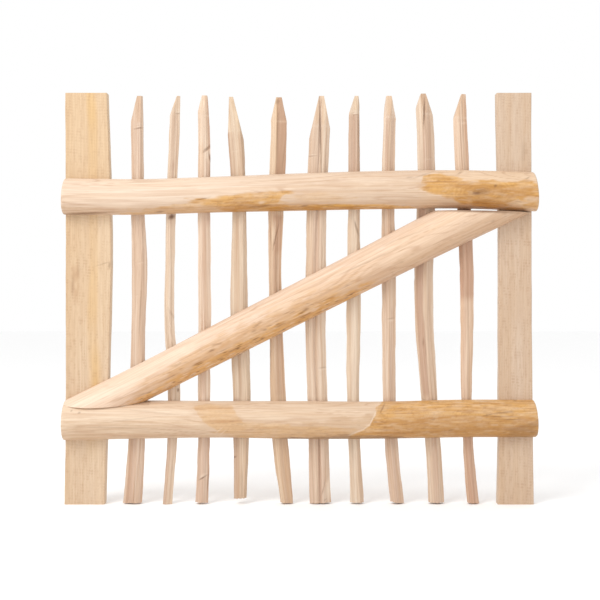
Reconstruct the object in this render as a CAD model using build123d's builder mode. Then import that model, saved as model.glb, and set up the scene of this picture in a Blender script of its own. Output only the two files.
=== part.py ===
from build123d import *

import os
from collections import namedtuple
from math import cos, pi, radians, sin, tan

# Leaf of a rustic chestnut picket gate: two sawn stiles and ten cleft pales stand behind two
# half-round rails and a half-round brace, which are screwed and nailed on from the back.
# Millimetres. +Z up, +X towards the latch side, -Y is the front, where the round poles are.
# The origin is at floor level, below the middle of the leaf's bounding box.

# ---------------------------------------------------------------- driving dimensions
LEAF_HEIGHT = 881
SEAT_Y = 8  # the plane where the poles' flat backs meet the stiles and the pales

STILE_THICK = 28
STILE_BACK = SEAT_Y + STILE_THICK
RAIL_LEFT_END = -502
RAIL_RIGHT_END = 505.5
RAIL_END_BEVEL = 4
POLE_SIDES = 24  # shaved flats round a whole pole
POLE_OVERRUN = 16  # the rails' poles are lofted this far past their saw cuts
RAIL_FROM, RAIL_TO = RAIL_LEFT_END - POLE_OVERRUN, RAIL_RIGHT_END + POLE_OVERRUN

# Rails: (bottom edge, top edge) of the pole at evenly spaced places, from end to end
RAIL_TOP_EDGES = (
    (620, 698),
    (620, 696),
    (625, 701.5),
    (628.5, 708.5),
    (632, 713.5),
    (633, 715),
    (626.5, 710.5),
)
RAIL_BOTTOM_EDGES = (
    (137.5, 223.5),
    (141, 223),
    (143.5, 221.5),
    (140.5, 221.5),
    (141, 220.5),
    (144, 224.5),
    (144.5, 224),
)
RAIL_TOP_END_SLANTS = (3, 5)  # degrees that the left and right saw cuts lean out at the bottom
RAIL_BOTTOM_END_SLANTS = (2, 4)

# Brace: its upper edge starts at the low corner and climbs at BRACE_SLOPE
BRACE_START_X, BRACE_START_Z = -498, 226.4
BRACE_SLOPE = 27  # degrees
BRACE_FROM, BRACE_TO = -70, 1110  # where the brace's pole is lofted from and to, past its cuts
# (lower edge, upper edge) measured square to its length, at evenly spaced places
BRACE_EDGES = (
    (-81, -1),
    (-82, -5),
    (-81.5, -3.5),
    (-80.5, -1.5),
    (-86, 2),
    (-101.5, 1),
)
BRACE_SEAT_Z = 223  # back edge of the flat planed on the bottom rail's shoulder
BRACE_SEAT_SLOPE = 19  # degrees, falling towards the front
BRACE_SEAT_LEFT, BRACE_SEAT_RIGHT = -506, -317
SEAT_CUT_BACK, SEAT_CUT_FRONT, SEAT_CUT_HEIGHT = 5, 50, 20  # reach of the cut round the flat
BRACE_TOP_X, BRACE_TOP_Z = 291, 628.5  # where the level cut at its high end starts
BRACE_TOP_FALL = 1.6  # degrees, falling towards the latch side
BRACE_BUTT_X, BRACE_TIP_X = -500, 498  # where its two ends are sawn off upright

# Stiles: outlines as (x, z) along the outer and the inner edge, from the foot up
STILE_HINGE_OUTER = ((-502, 0), (-499.5, 330), (-500.5, LEAF_HEIGHT))
STILE_HINGE_INNER = ((-416.5, 0), (-407.5, 290), (-402, 560), (-406.5, 740), (-411.5, LEAF_HEIGHT))
STILE_LATCH_OUTER = ((502.5, 0), (498.5, 440), (497.5, LEAF_HEIGHT))
STILE_LATCH_INNER = ((426, 0), (429.4, 330), (429.3, 580), (425.8, 740), (423.5, LEAF_HEIGHT))

# Fasteners
NAIL_LENGTH, NAIL_R, NAIL_HEAD_R, NAIL_HEAD_THICK, NAIL_POINT = 50, 1.6, 3.6, 1.3, 4
SCREW_R, SCREW_HEAD_R, SCREW_SINK, SCREW_RIM, SCREW_POINT = 2.5, 5, 0.5, 0.3, 7
SCREW_LENGTH, BRACE_SCREW_LENGTH = 58, 50
DRIVE_R, DRIVE_DEPTH, DRIVE_SIDES = 2.2, 1.8, 6
TIP_R = 0.4  # blunt end of a nail's or a screw's point
NAIL_SIDES, SCREW_SIDES = 8, 12
# Two screws hold each rail to each stile, one low and one high, a little out of line
STILE_SCREWS_X = (-454, 465)
SCREW_RISE, SCREW_STAGGER = 14, 11.2
BRACE_SCREWS = ((-430, STILE_BACK, 239), (453, STILE_BACK, 611))

# ---------------------------------------------------------------- cleft pales
# centres, widths: the cleft pale at evenly spaced heights from PALE_FROM to PALE_TO
# ridge: where the front ridge lies, as a part of the width from the centre
# foot: height and slope in degrees of the saw cut
# tip: height, left edge and right edge of the blunt hewn point
# shoulders: heights where the left, right and front hewn faces start
PALE_FROM, PALE_TO = -10, 900
Pale = namedtuple("Pale", "centres widths ridge thick foot tip shoulders")
PALES = (
    Pale(
        centres=(-358, -349, -346.5, -344.5, -342, -346, -346.5, -347.5),
        widths=(41.5, 36.5, 33, 30, 34, 27.5, 26.5, 26),
        ridge=0.12, thick=22, foot=(2, 0), tip=(875, -347, -336), shoulders=(822, 848, 814),
    ),
    Pale(
        centres=(-283, -273, -268, -277.5, -276.5, -274, -268.5, -264),
        widths=(20, 20.5, 26.5, 21, 20, 21.5, 22, 22),
        ridge=-0.15, thick=21, foot=(0, 0), tip=(875, -261.5, -255), shoulders=(831, 860, 846),
    ),
    Pale(
        centres=(-208.5, -204, -203.5, -202.5, -202.5, -203.5, -203.5, -206),
        widths=(28.5, 25.5, 26, 27.5, 27.5, 26, 26.5, 25),
        ridge=-0.1, thick=22, foot=(3, -3), tip=(876, -208, -197), shoulders=(838, 800, 832),
    ),
    Pale(
        centres=(-126, -124, -123, -128, -128.5, -128, -134.5, -146),
        widths=(25.5, 33, 38.5, 39, 35, 30, 32.5, 33),
        ridge=0.2, thick=24, foot=(12, 4), tip=(873, -150, -141.5), shoulders=(790, 785, 800),
    ),
    Pale(
        centres=(-25, -39, -45.5, -49, -51.5, -49, -43.5, -42),
        widths=(26, 33, 33, 28, 27.5, 33, 34.5, 34),
        ridge=-0.22, thick=23, foot=(2, -6), tip=(872, -49, -37), shoulders=(823, 818, 820),
    ),
    Pale(
        centres=(46, 43, 39, 35.5, 36.5, 38, 43.5, 50),
        widths=(46, 43.5, 43, 44, 43, 43, 44.5, 42),
        ridge=0, thick=25, foot=(2, 3), tip=(875, 43, 53.5), shoulders=(785, 803, 810),
    ),
    Pale(
        centres=(125, 119, 116, 117, 117.5, 118, 118, 119.5),
        widths=(29.5, 25.5, 27.5, 30.5, 28, 25, 24.5, 22),
        ridge=0.1, thick=22, foot=(3, 0), tip=(875, 119.5, 127.5), shoulders=(838, 852, 842),
    ),
    Pale(
        centres=(211, 199, 193.5, 193, 193, 191, 193, 198),
        widths=(29.5, 28.5, 28, 29, 30.5, 27, 26.5, 28),
        ridge=-0.1, thick=23, foot=(3, -9), tip=(875, 187.5, 198.5), shoulders=(840, 822, 830),
    ),
    Pale(
        centres=(295.5, 288.5, 278.5, 269.5, 268, 272.5, 272, 265),
        widths=(34, 32.5, 36, 40, 41, 39, 37, 33),
        ridge=0.05, thick=26, foot=(3, 0), tip=(880, 261.5, 271.5), shoulders=(848, 838, 836),
    ),
    Pale(
        centres=(374.5, 363.5, 359, 360.5, 359.5, 354, 347.5, 342),
        widths=(26, 22.5, 22.5, 28, 30, 29, 29.5, 30),
        ridge=-0.12, thick=22, foot=(1.5, -5), tip=(879, 348.5, 357.5), shoulders=(823, 866, 828),
    ),
)
PALE_RIDGE_HALF = 3  # half the width of the blunt front ridge that lies on the rails
PALE_SIDE_SETBACK = 0.3  # the side arrises lie this far back, as a part of the thickness
PALE_BACK_HALF = 0.38  # half the width of the flat back, as a part of the width
PALE_TIP_FRONT, PALE_TIP_BACK = 0.14, 0.85  # the tip's front and back, as parts of the thickness
PALE_BACK_SHOULDER_RISE = 10  # the back's hewn face starts this far above the front's
PALE_CREASE_HALF, PALE_CREASE_DEPTH = 4, 3  # the riven groove down the front of the widest pale
WIDEST_PALE = 5

os.makedirs("parts", exist_ok=True)


def finish(builder, node):
    """Labels a finished piece and writes its STEP file."""
    builder.part.label = node
    export_step(builder.part, f"parts/{node}.step")


def spaced(start, end, values):
    """Pairs each of the values with its place, evenly spaced from start to end."""
    step = (end - start) / (len(values) - 1)
    return [(start + index * step, value) for index, value in enumerate(values)]


def between(stations, place):
    """The value at a place along (place, value) stations, on a straight line between two."""
    for near, far in zip(stations, stations[1:]):
        if place <= far[0]:
            break
    part = (place - near[0]) / (far[0] - near[0])
    return near[1] + part * (far[1] - near[1])


# ---------------------------------------------------------------- half-round poles
def round_pole(girth, start, slope):
    """Lofts a shaved pole through its girth, with its heart on the seat plane.

    start is (x, z) where the girth's distances begin, and slope is the climb in degrees.
    """
    climb = radians(slope)
    with BuildPart() as pole:
        for along, (low, high) in girth:
            place = (start[0] + along * cos(climb), SEAT_Y, start[1] + along * sin(climb))
            across = Plane(origin=place, x_dir=(0, 1, 0), z_dir=(cos(climb), 0, sin(climb)))
            with BuildSketch(across):
                with Locations((0, (low + high) / 2)):
                    RegularPolygon(radius=(high - low) / 2, side_count=POLE_SIDES)
        loft(ruled=True)
    return pole.part


def halve_pole():
    """Splits a pole lengthwise at the seat plane and keeps the front half."""
    split(bisect_by=Plane(origin=(0, SEAT_Y, 0), z_dir=(0, 1, 0)), keep=Keep.BOTTOM)


def saw_rail(slants, middle):
    """Saws both ends of a rail's pole at their slants."""
    for end, side, slant in zip((RAIL_LEFT_END, RAIL_RIGHT_END), (-1, 1), slants):
        lean = radians(slant)
        split(
            bisect_by=Plane(origin=(end, 0, middle), z_dir=(side * cos(lean), 0, sin(lean))),
            keep=Keep.BOTTOM,
        )


def bevel_rail_ends(rail):
    """Eases the sawn arris round both ends of a rail's pole."""
    ends = rail.faces().sort_by(Axis.X)
    chamfer(ends[0].edges() + ends[-1].edges(), length=RAIL_END_BEVEL)


# ---------------------------------------------------------------- fasteners
# Nails and screws are drawn with their heads at the origin and their points along -Y. Their
# round sections have flats, so that many of them stay light.
def point(part, shank_r, sides, length):
    """Chamfers the far end of a shank down to a blunt point."""
    end = part.faces().sort_by(Axis.Y)[0]
    across = (shank_r - TIP_R) * cos(pi / sides)
    chamfer(end.edges(), length=across, length2=length, reference=end)


with BuildPart() as nail:
    with BuildSketch(Plane.XZ):
        RegularPolygon(radius=NAIL_HEAD_R, side_count=SCREW_SIDES)
    extrude(amount=-NAIL_HEAD_THICK)
    with BuildSketch(Plane.XZ):
        RegularPolygon(radius=NAIL_R, side_count=NAIL_SIDES)
    extrude(amount=NAIL_LENGTH)
    point(nail, NAIL_R, NAIL_SIDES, NAIL_POINT)


def screw_body(length, head_top):
    """A countersunk screw without its drive, from the depth head_top down to its length."""
    cone = SCREW_HEAD_R - SCREW_R
    cone_top = SCREW_SINK + SCREW_RIM
    with BuildPart() as body:
        with BuildSketch(Plane.XZ.offset(head_top)):
            RegularPolygon(radius=SCREW_HEAD_R, side_count=SCREW_SIDES)
        extrude(amount=cone_top + cone - head_top)
        underside = body.faces().sort_by(Axis.Y)[0]
        across = cone * cos(pi / SCREW_SIDES)
        chamfer(underside.edges(), length=across, length2=cone, reference=underside)
        with BuildSketch(Plane.XZ.offset(cone_top)):
            RegularPolygon(radius=SCREW_R, side_count=SCREW_SIDES)
        extrude(amount=length - cone_top)
        point(body, SCREW_R, SCREW_SIDES, SCREW_POINT)
    return body.part


def make_screw(length):
    """A countersunk screw with a six-sided drive, its head sunk just below the surface."""
    body = screw_body(length, SCREW_SINK)
    with BuildPart() as driven:
        add(body)
        with BuildSketch(Plane.XZ.offset(SCREW_SINK)):
            RegularPolygon(radius=DRIVE_R, side_count=DRIVE_SIDES)
        extrude(amount=DRIVE_DEPTH, mode=Mode.SUBTRACT)
    return driven.part


def make_screw_bore(length):
    """The hole that a screw fills, open to the surface above its sunk head."""
    return screw_body(length, 0)


def place_all(part, seats, mode=Mode.ADD):
    """Sets one copy of the part on each seat (x, y, z)."""
    for seat in seats:
        with Locations(seat):
            add(part, mode=mode)


def middle_line(girth):
    """The (place, middle) stations of a pole."""
    return [(place, (low + high) / 2) for place, (low, high) in girth]


RAIL_TOP_GIRTH = spaced(RAIL_FROM, RAIL_TO, RAIL_TOP_EDGES)
RAIL_BOTTOM_GIRTH = spaced(RAIL_FROM, RAIL_TO, RAIL_BOTTOM_EDGES)
BRACE_GIRTH = spaced(BRACE_FROM, BRACE_TO, BRACE_EDGES)
rail_top_middle = middle_line(RAIL_TOP_GIRTH)
rail_bottom_middle = middle_line(RAIL_BOTTOM_GIRTH)
brace_middle = middle_line(BRACE_GIRTH)


def brace_centre_z(x):
    """Height of the brace's middle line at x."""
    slope = radians(BRACE_SLOPE)
    points = [
        (
            BRACE_START_X + along * cos(slope) - middle * sin(slope),
            BRACE_START_Z + along * sin(slope) + middle * cos(slope),
        )
        for along, middle in brace_middle
    ]
    return between(points, x)


def pale_centre(pale, z):
    """Middle of a pale at height z."""
    return between(spaced(PALE_FROM, PALE_TO, pale.centres), z)


def pale_width(pale, z):
    """Width of a pale at height z."""
    return between(spaced(PALE_FROM, PALE_TO, pale.widths), z)


def stile_screw_seats(rail_middle):
    """Places of the four screws that hold one rail, two in each stile."""
    return [
        (x + side * SCREW_STAGGER, STILE_BACK, between(rail_middle, x) + side * SCREW_RISE)
        for x in STILE_SCREWS_X
        for side in (-1, 1)
    ]


RAIL_TOP_SCREWS = stile_screw_seats(rail_top_middle)
RAIL_BOTTOM_SCREWS = stile_screw_seats(rail_bottom_middle)

RAIL_TOP_NAILS = []
RAIL_BOTTOM_NAILS = []
BRACE_NAILS = []
for pale in PALES:
    back = SEAT_Y + pale.thick
    middle = pale_centre(pale, LEAF_HEIGHT / 2)
    top_z = between(rail_top_middle, middle)
    bottom_z = between(rail_bottom_middle, middle)
    brace_z = brace_centre_z(middle)
    RAIL_TOP_NAILS.append((pale_centre(pale, top_z), back, top_z))
    RAIL_BOTTOM_NAILS.append((pale_centre(pale, bottom_z), back, bottom_z))
    BRACE_NAILS.append((pale_centre(pale, brace_z), back, brace_z))

screw = make_screw(SCREW_LENGTH)
screw_bore = make_screw_bore(SCREW_LENGTH)
brace_screw = make_screw(BRACE_SCREW_LENGTH)
brace_screw_bore = make_screw_bore(BRACE_SCREW_LENGTH)

with BuildPart() as screws_rail_top:
    place_all(screw, RAIL_TOP_SCREWS)
finish(screws_rail_top, "screws_rail_top")

with BuildPart() as screws_rail_bottom:
    place_all(screw, RAIL_BOTTOM_SCREWS)
finish(screws_rail_bottom, "screws_rail_bottom")

with BuildPart() as screws_brace:
    place_all(brace_screw, BRACE_SCREWS)
finish(screws_brace, "screws_brace")

with BuildPart() as nails_rail_top:
    place_all(nail.part, RAIL_TOP_NAILS)
finish(nails_rail_top, "nails_rail_top")

with BuildPart() as nails_rail_bottom:
    place_all(nail.part, RAIL_BOTTOM_NAILS)
finish(nails_rail_bottom, "nails_rail_bottom")

with BuildPart() as nails_brace:
    place_all(nail.part, BRACE_NAILS)
finish(nails_brace, "nails_brace")

# ---------------------------------------------------------------- rails
top_pole = round_pole(RAIL_TOP_GIRTH, (0, 0), 0)
with BuildPart() as rail_top:
    add(top_pole)
    saw_rail(RAIL_TOP_END_SLANTS, between(rail_top_middle, 0))
    bevel_rail_ends(rail_top)
    halve_pole()
    place_all(screw_bore, RAIL_TOP_SCREWS, Mode.SUBTRACT)
    place_all(nail.part, RAIL_TOP_NAILS, Mode.SUBTRACT)
finish(rail_top, "rail_top")

seat_slope = radians(BRACE_SEAT_SLOPE)
bottom_pole = round_pole(RAIL_BOTTOM_GIRTH, (0, 0), 0)
with BuildPart() as rail_bottom:
    add(bottom_pole)
    saw_rail(RAIL_BOTTOM_END_SLANTS, between(rail_bottom_middle, 0))
    bevel_rail_ends(rail_bottom)
    halve_pole()
    # the flat that the brace's foot stands on
    with BuildSketch(Plane.YZ.offset(BRACE_SEAT_LEFT)):
        with BuildLine():
            Polyline(
                (SEAT_Y + SEAT_CUT_BACK, BRACE_SEAT_Z + SEAT_CUT_BACK * tan(seat_slope)),
                (SEAT_Y + SEAT_CUT_BACK, BRACE_SEAT_Z + SEAT_CUT_HEIGHT),
                (SEAT_Y - SEAT_CUT_FRONT, BRACE_SEAT_Z + SEAT_CUT_HEIGHT),
                (SEAT_Y - SEAT_CUT_FRONT, BRACE_SEAT_Z - SEAT_CUT_FRONT * tan(seat_slope)),
                close=True,
            )
        make_face()
    extrude(amount=BRACE_SEAT_RIGHT - BRACE_SEAT_LEFT, mode=Mode.SUBTRACT)
    place_all(screw_bore, RAIL_BOTTOM_SCREWS, Mode.SUBTRACT)
    place_all(nail.part, RAIL_BOTTOM_NAILS, Mode.SUBTRACT)
finish(rail_bottom, "rail_bottom")

# ---------------------------------------------------------------- brace
top_fall = radians(BRACE_TOP_FALL)
brace_pole = round_pole(BRACE_GIRTH, (BRACE_START_X, BRACE_START_Z), BRACE_SLOPE)
with BuildPart() as brace:
    add(brace_pole)
    halve_pole()
    split(
        bisect_by=Plane(
            origin=(0, SEAT_Y, BRACE_SEAT_Z), z_dir=(0, sin(seat_slope), -cos(seat_slope))
        ),
        keep=Keep.BOTTOM,
    )
    split(
        bisect_by=Plane(
            origin=(BRACE_TOP_X, 0, BRACE_TOP_Z), z_dir=(sin(top_fall), 0, cos(top_fall))
        ),
        keep=Keep.BOTTOM,
    )
    split(bisect_by=Plane(origin=(BRACE_TIP_X, 0, 0), z_dir=(1, 0, 0)), keep=Keep.BOTTOM)
    split(bisect_by=Plane(origin=(BRACE_BUTT_X, 0, 0), z_dir=(-1, 0, 0)), keep=Keep.BOTTOM)
    place_all(brace_screw_bore, BRACE_SCREWS, Mode.SUBTRACT)
    place_all(nail.part, BRACE_NAILS, Mode.SUBTRACT)
finish(brace, "brace")


# ---------------------------------------------------------------- stiles
def sawn_board(outer, inner):
    """A board with the given edges, its front face on the seat plane."""
    with BuildPart() as board:
        with BuildSketch(Plane.XZ.offset(-SEAT_Y)):
            with BuildLine():
                Spline(*outer)
                Spline(*inner)
                Line(outer[0], inner[0])
                Line(outer[-1], inner[-1])
            make_face()
        extrude(amount=-STILE_THICK)
    return board.part


hinge_board = sawn_board(STILE_HINGE_OUTER, STILE_HINGE_INNER)
with BuildPart() as stile_hinge:
    add(hinge_board)
    place_all(screw_bore, RAIL_TOP_SCREWS[:2] + RAIL_BOTTOM_SCREWS[:2], Mode.SUBTRACT)
    place_all(brace_screw_bore, BRACE_SCREWS[:1], Mode.SUBTRACT)
finish(stile_hinge, "stile_hinge")

latch_board = sawn_board(STILE_LATCH_OUTER, STILE_LATCH_INNER)
with BuildPart() as stile_latch:
    add(latch_board)
    place_all(screw_bore, RAIL_TOP_SCREWS[2:] + RAIL_BOTTOM_SCREWS[2:], Mode.SUBTRACT)
    place_all(brace_screw_bore, BRACE_SCREWS[1:], Mode.SUBTRACT)
finish(stile_latch, "stile_latch")


# ---------------------------------------------------------------- pales
def cleft_outline(pale, centre, width, creased):
    """Points round a cleft pale: blunt front ridge, side arrises set back, flat back."""
    ridge = centre + pale.ridge * width
    side_y = SEAT_Y + PALE_SIDE_SETBACK * pale.thick
    back_y = SEAT_Y + pale.thick
    front = [(ridge - PALE_RIDGE_HALF, SEAT_Y), (ridge + PALE_RIDGE_HALF, SEAT_Y)]
    if creased:
        left, right = ridge - PALE_CREASE_HALF, ridge + PALE_CREASE_HALF
        front = [
            (left - 2 * PALE_RIDGE_HALF, SEAT_Y),
            (left, SEAT_Y),
            (ridge, SEAT_Y + PALE_CREASE_DEPTH),
            (right, SEAT_Y),
            (right + 2 * PALE_RIDGE_HALF, SEAT_Y),
        ]
    return front + [
        (centre + width / 2, side_y),
        (centre + PALE_BACK_HALF * width, back_y),
        (centre - PALE_BACK_HALF * width, back_y),
        (centre - width / 2, side_y),
    ]


def hew(start, tip, across):
    """Splits off all that lies outside a hewn face, which runs from its start to the tip.

    start and tip are (offset, height) along the direction across, which points outwards.
    """
    run = Vector(*across) * (tip[0] - start[0]) + Vector(0, 0, tip[1] - start[1])
    sideways = Vector(*across).cross(Vector(0, 0, 1))
    origin = Vector(*across) * start[0] + Vector(0, 0, start[1])
    split(bisect_by=Plane(origin=origin, z_dir=run.cross(sideways)), keep=Keep.BOTTOM)


def cleave(pale, creased):
    """Lofts a pale along its stations, past its foot and its tip."""
    with BuildPart() as billet:
        for height, centre in spaced(PALE_FROM, PALE_TO, pale.centres):
            width = pale_width(pale, height)
            with BuildSketch(Plane.XY.offset(height)):
                with BuildLine():
                    Polyline(*cleft_outline(pale, centre, width, creased), close=True)
                make_face()
        loft(ruled=True)
    return billet.part


def saw_foot(pale):
    """Saws the pale's foot at its height and slope."""
    height, slope = pale.foot
    origin = (pale_centre(pale, height), 0, height)
    lean = radians(slope)
    split(bisect_by=Plane(origin=origin, z_dir=(sin(lean), 0, -cos(lean))), keep=Keep.BOTTOM)


def hew_point(pale):
    """Cuts the tip blunt and hews the point's four faces."""
    height, tip_left, tip_right = pale.tip
    left_z, right_z, front_z = pale.shoulders
    back_z = front_z + PALE_BACK_SHOULDER_RISE
    front, back = SEAT_Y, SEAT_Y + pale.thick
    left = pale_centre(pale, left_z) - pale_width(pale, left_z) / 2
    right = pale_centre(pale, right_z) + pale_width(pale, right_z) / 2
    split(bisect_by=Plane.XY.offset(height), keep=Keep.BOTTOM)
    hew((-left, left_z), (-tip_left, height), (-1, 0, 0))
    hew((right, right_z), (tip_right, height), (1, 0, 0))
    hew((-front, front_z), (-front - PALE_TIP_FRONT * pale.thick, height), (0, -1, 0))
    hew((back, back_z), (front + PALE_TIP_BACK * pale.thick, height), (0, 1, 0))


for index, pale in enumerate(PALES):
    billet = cleave(pale, index == WIDEST_PALE)
    with BuildPart() as picket:
        add(billet)
        saw_foot(pale)
        hew_point(pale)
        nail_seats = [RAIL_TOP_NAILS[index], RAIL_BOTTOM_NAILS[index], BRACE_NAILS[index]]
        place_all(nail.part, nail_seats, Mode.SUBTRACT)
    finish(picket, f"pale_{index + 1:02d}")
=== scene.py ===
from collections import namedtuple
from math import cos, pi, radians, sin, tan

import bpy
import numpy as np
from bpy.props import FloatProperty, FloatVectorProperty, PointerProperty
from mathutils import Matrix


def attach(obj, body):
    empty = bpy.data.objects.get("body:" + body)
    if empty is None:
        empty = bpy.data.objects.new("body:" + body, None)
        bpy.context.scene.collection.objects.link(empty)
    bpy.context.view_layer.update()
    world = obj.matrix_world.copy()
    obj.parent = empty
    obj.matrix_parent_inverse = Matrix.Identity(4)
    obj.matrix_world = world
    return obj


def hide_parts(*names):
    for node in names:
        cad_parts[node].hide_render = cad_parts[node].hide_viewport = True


bl_info = {
    "name": "Cleft Picket Gate",
    "version": (1, 0, 0),
    "blender": (4, 5, 0),
    "location": "3D View > Sidebar > Gate",
    "description": "Dresses a cleft chestnut picket gate leaf in worked timber surfaces",
    "category": "Add Mesh",
}

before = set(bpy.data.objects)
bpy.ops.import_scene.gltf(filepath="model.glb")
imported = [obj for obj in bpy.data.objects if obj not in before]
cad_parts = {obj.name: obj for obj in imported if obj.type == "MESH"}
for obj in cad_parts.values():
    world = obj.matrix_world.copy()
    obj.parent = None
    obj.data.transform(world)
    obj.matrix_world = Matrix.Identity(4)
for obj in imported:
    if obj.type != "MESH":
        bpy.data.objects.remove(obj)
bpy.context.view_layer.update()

# Sizes below are millimetres in the leaf's own frame: +Z up, +X to the latch side, -Y the
# front. They follow the solids: the same edges, stations, cuts and centres.
MM = 0.001
SEAT_Y = 8.0
STILE_BACK = 36.0
LEAF_TOP = 881.0

# ---------------------------------------------------------------- poles
RAIL_ENDS = (-502.0, 505.5)
RAIL_STATIONS = (-518.0, 521.5)
RAIL_TOP_LOW = (620, 620, 625, 628.5, 632, 633, 626.5)
RAIL_TOP_HIGH = (698, 696, 701.5, 708.5, 713.5, 715, 710.5)
RAIL_BOTTOM_LOW = (137.5, 141, 143.5, 140.5, 141, 144, 144.5)
RAIL_BOTTOM_HIGH = (223.5, 223, 221.5, 221.5, 220.5, 224.5, 224)
# how far each end leans, in degrees, and the height that its cut is set out at
RAIL_TOP_SLANTS, RAIL_TOP_MIDDLE = (3, 5), 669
RAIL_BOTTOM_SLANTS, RAIL_BOTTOM_MIDDLE = (2, 4), 180

BRACE_START = (-498.0, 226.4)
BRACE_SLOPE = radians(27)
BRACE_STATIONS = (-70.0, 1110.0)
BRACE_LOW = (-81, -82, -83.7, -86, -90.3, -97)
BRACE_HIGH = (-1, -4, -2, -0.8, 2, 1)
BRACE_SEAT_Z = 223.0
BRACE_SEAT_SLOPE = radians(19)
BRACE_SEAT_ENDS = (-506.0, -317.0)
BRACE_TOP = (291.0, 628.5)
BRACE_TOP_FALL = radians(1.6)
BRACE_BUTT_X, BRACE_TIP_X = -500.0, 498.0
BRACE_ARRIS = 0.8

# ---------------------------------------------------------------- stiles
# heights and the outer and inner edge there
STILE_HINGE_Z = (0, 150, 290, 430, 560, 650, 740, 881)
STILE_HINGE_OUTER = (-502, -500.3, -499.6, -499.4, -499.5, -499.8, -500, -500.5)
STILE_HINGE_INNER = (-416.5, -412, -407.5, -404, -402, -403.6, -406.5, -411.5)
STILE_LATCH_Z = (0, 165, 330, 460, 580, 660, 740, 881)
STILE_LATCH_OUTER = (502.5, 500.5, 499, 498.4, 498, 497.9, 497.7, 497.5)
STILE_LATCH_INNER = (426, 429, 429.4, 429.4, 429.3, 427.8, 425.8, 423.5)

# ---------------------------------------------------------------- cleft pales
PALE_STATIONS = (-10.0, 900.0)
PALE_SIDE_SETBACK, PALE_BACK_HALF = 0.3, 0.38
PALE_RIDGE_HALF = 3.0
PALE_TIP_FRONT, PALE_TIP_BACK = 0.14, 0.85
PALE_BACK_SHOULDER_RISE = 10.0
CREASE_HALF, CREASE_DEPTH = 4.0, 3.0
# centres, widths: at evenly spaced heights; ridge: its offset as a part of the width
# foot: height and slope; tip: height, left and right edge; shoulders: left, right, front
Pale = namedtuple("Pale", "centres widths ridge thick foot tip shoulders")
PALES = (
    Pale((-358, -349, -346.5, -344.5, -342, -346, -346.5, -347.5),
         (41.5, 36.5, 33, 30, 34, 27.5, 26.5, 26),
         0.12, 22, (2, 0), (875, -347, -336), (822, 848, 814)),
    Pale((-283, -273, -268, -277.5, -276.5, -274, -268.5, -264),
         (20, 20.5, 26.5, 21, 20, 21.5, 22, 22),
         -0.15, 21, (0, 0), (875, -261.5, -255), (831, 860, 846)),
    Pale((-208.5, -204, -203.5, -202.5, -202.5, -203.5, -203.5, -206),
         (28.5, 25.5, 26, 27.5, 27.5, 26, 26.5, 25),
         -0.1, 22, (3, -3), (876, -208, -197), (838, 800, 832)),
    Pale((-126, -124, -123, -128, -128.5, -128, -134.5, -146),
         (25.5, 33, 38.5, 39, 35, 30, 32.5, 33),
         0.2, 24, (12, 4), (873, -150, -141.5), (790, 785, 800)),
    Pale((-25, -39, -45.5, -49, -51.5, -49, -43.5, -42),
         (26, 33, 33, 28, 27.5, 33, 34.5, 34),
         -0.22, 23, (2, -6), (872, -49, -37), (823, 818, 820)),
    Pale((46, 43, 39, 35.5, 36.5, 38, 43.5, 50),
         (46, 43.5, 43, 44, 43, 43, 44.5, 42),
         0, 25, (2, 3), (875, 43, 53.5), (785, 803, 810)),
    Pale((125, 119, 116, 117, 117.5, 118, 118, 119.5),
         (29.5, 25.5, 27.5, 30.5, 28, 25, 24.5, 22),
         0.1, 22, (3, 0), (875, 119.5, 127.5), (838, 852, 842)),
    Pale((211, 199, 193.5, 193, 193, 191, 193, 198),
         (29.5, 28.5, 28, 29, 30.5, 27, 26.5, 28),
         -0.1, 23, (3, -9), (875, 187.5, 198.5), (840, 822, 830)),
    Pale((295.5, 288.5, 278.5, 269.5, 268, 272.5, 272, 265),
         (34, 32.5, 36, 40, 41, 39, 37, 33),
         0.05, 26, (3, 0), (880, 261.5, 271.5), (848, 838, 836)),
    Pale((374.5, 363.5, 359, 360.5, 359.5, 354, 347.5, 342),
         (26, 22.5, 22.5, 28, 30, 29, 29.5, 30),
         -0.12, 22, (1.5, -5), (879, 348.5, 357.5), (823, 866, 828)),
)
WIDEST_PALE = 5

# x, z on a stile's back where each screw's sunk head sits
STILE_SCREWS = (
    (-465.2, 644.6), (-442.8, 672.6), (-465.2, 167.1), (-442.8, 195.1), (-430, 239),
    (453.8, 656.3), (476.2, 684.3), (453.8, 170.3), (476.2, 198.3), (453, 611),
)
SCREW_DIMPLE_R, SCREW_DIMPLE_RIM, SCREW_DIMPLE_DEPTH = 5.4, 1.4, 0.9
SCREW_HOLE_R, SCREW_HOLE_EDGE, SCREW_HOLE_DEPTH = 2.4, 4.2, 2.4

# ---------------------------------------------------------------- marks and stains
# A mark is a nick, split or knot, or a line of painted shade in a gap between parts: x, z of
# its middle, half its length and half its width, its lean in degrees from upright, how deep it
# goes and how dark it is (below 0: fresh wood). The darkness of a sunk nick or split, often
# paired with a fresh one beside it, is partly painted shade in its groove.
Mark = namedtuple("Mark", "x z long wide lean deep dark")


def mark_rows(*rows):
    """Marks from rows of their values."""
    return [Mark(*row) for row in rows]


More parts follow.
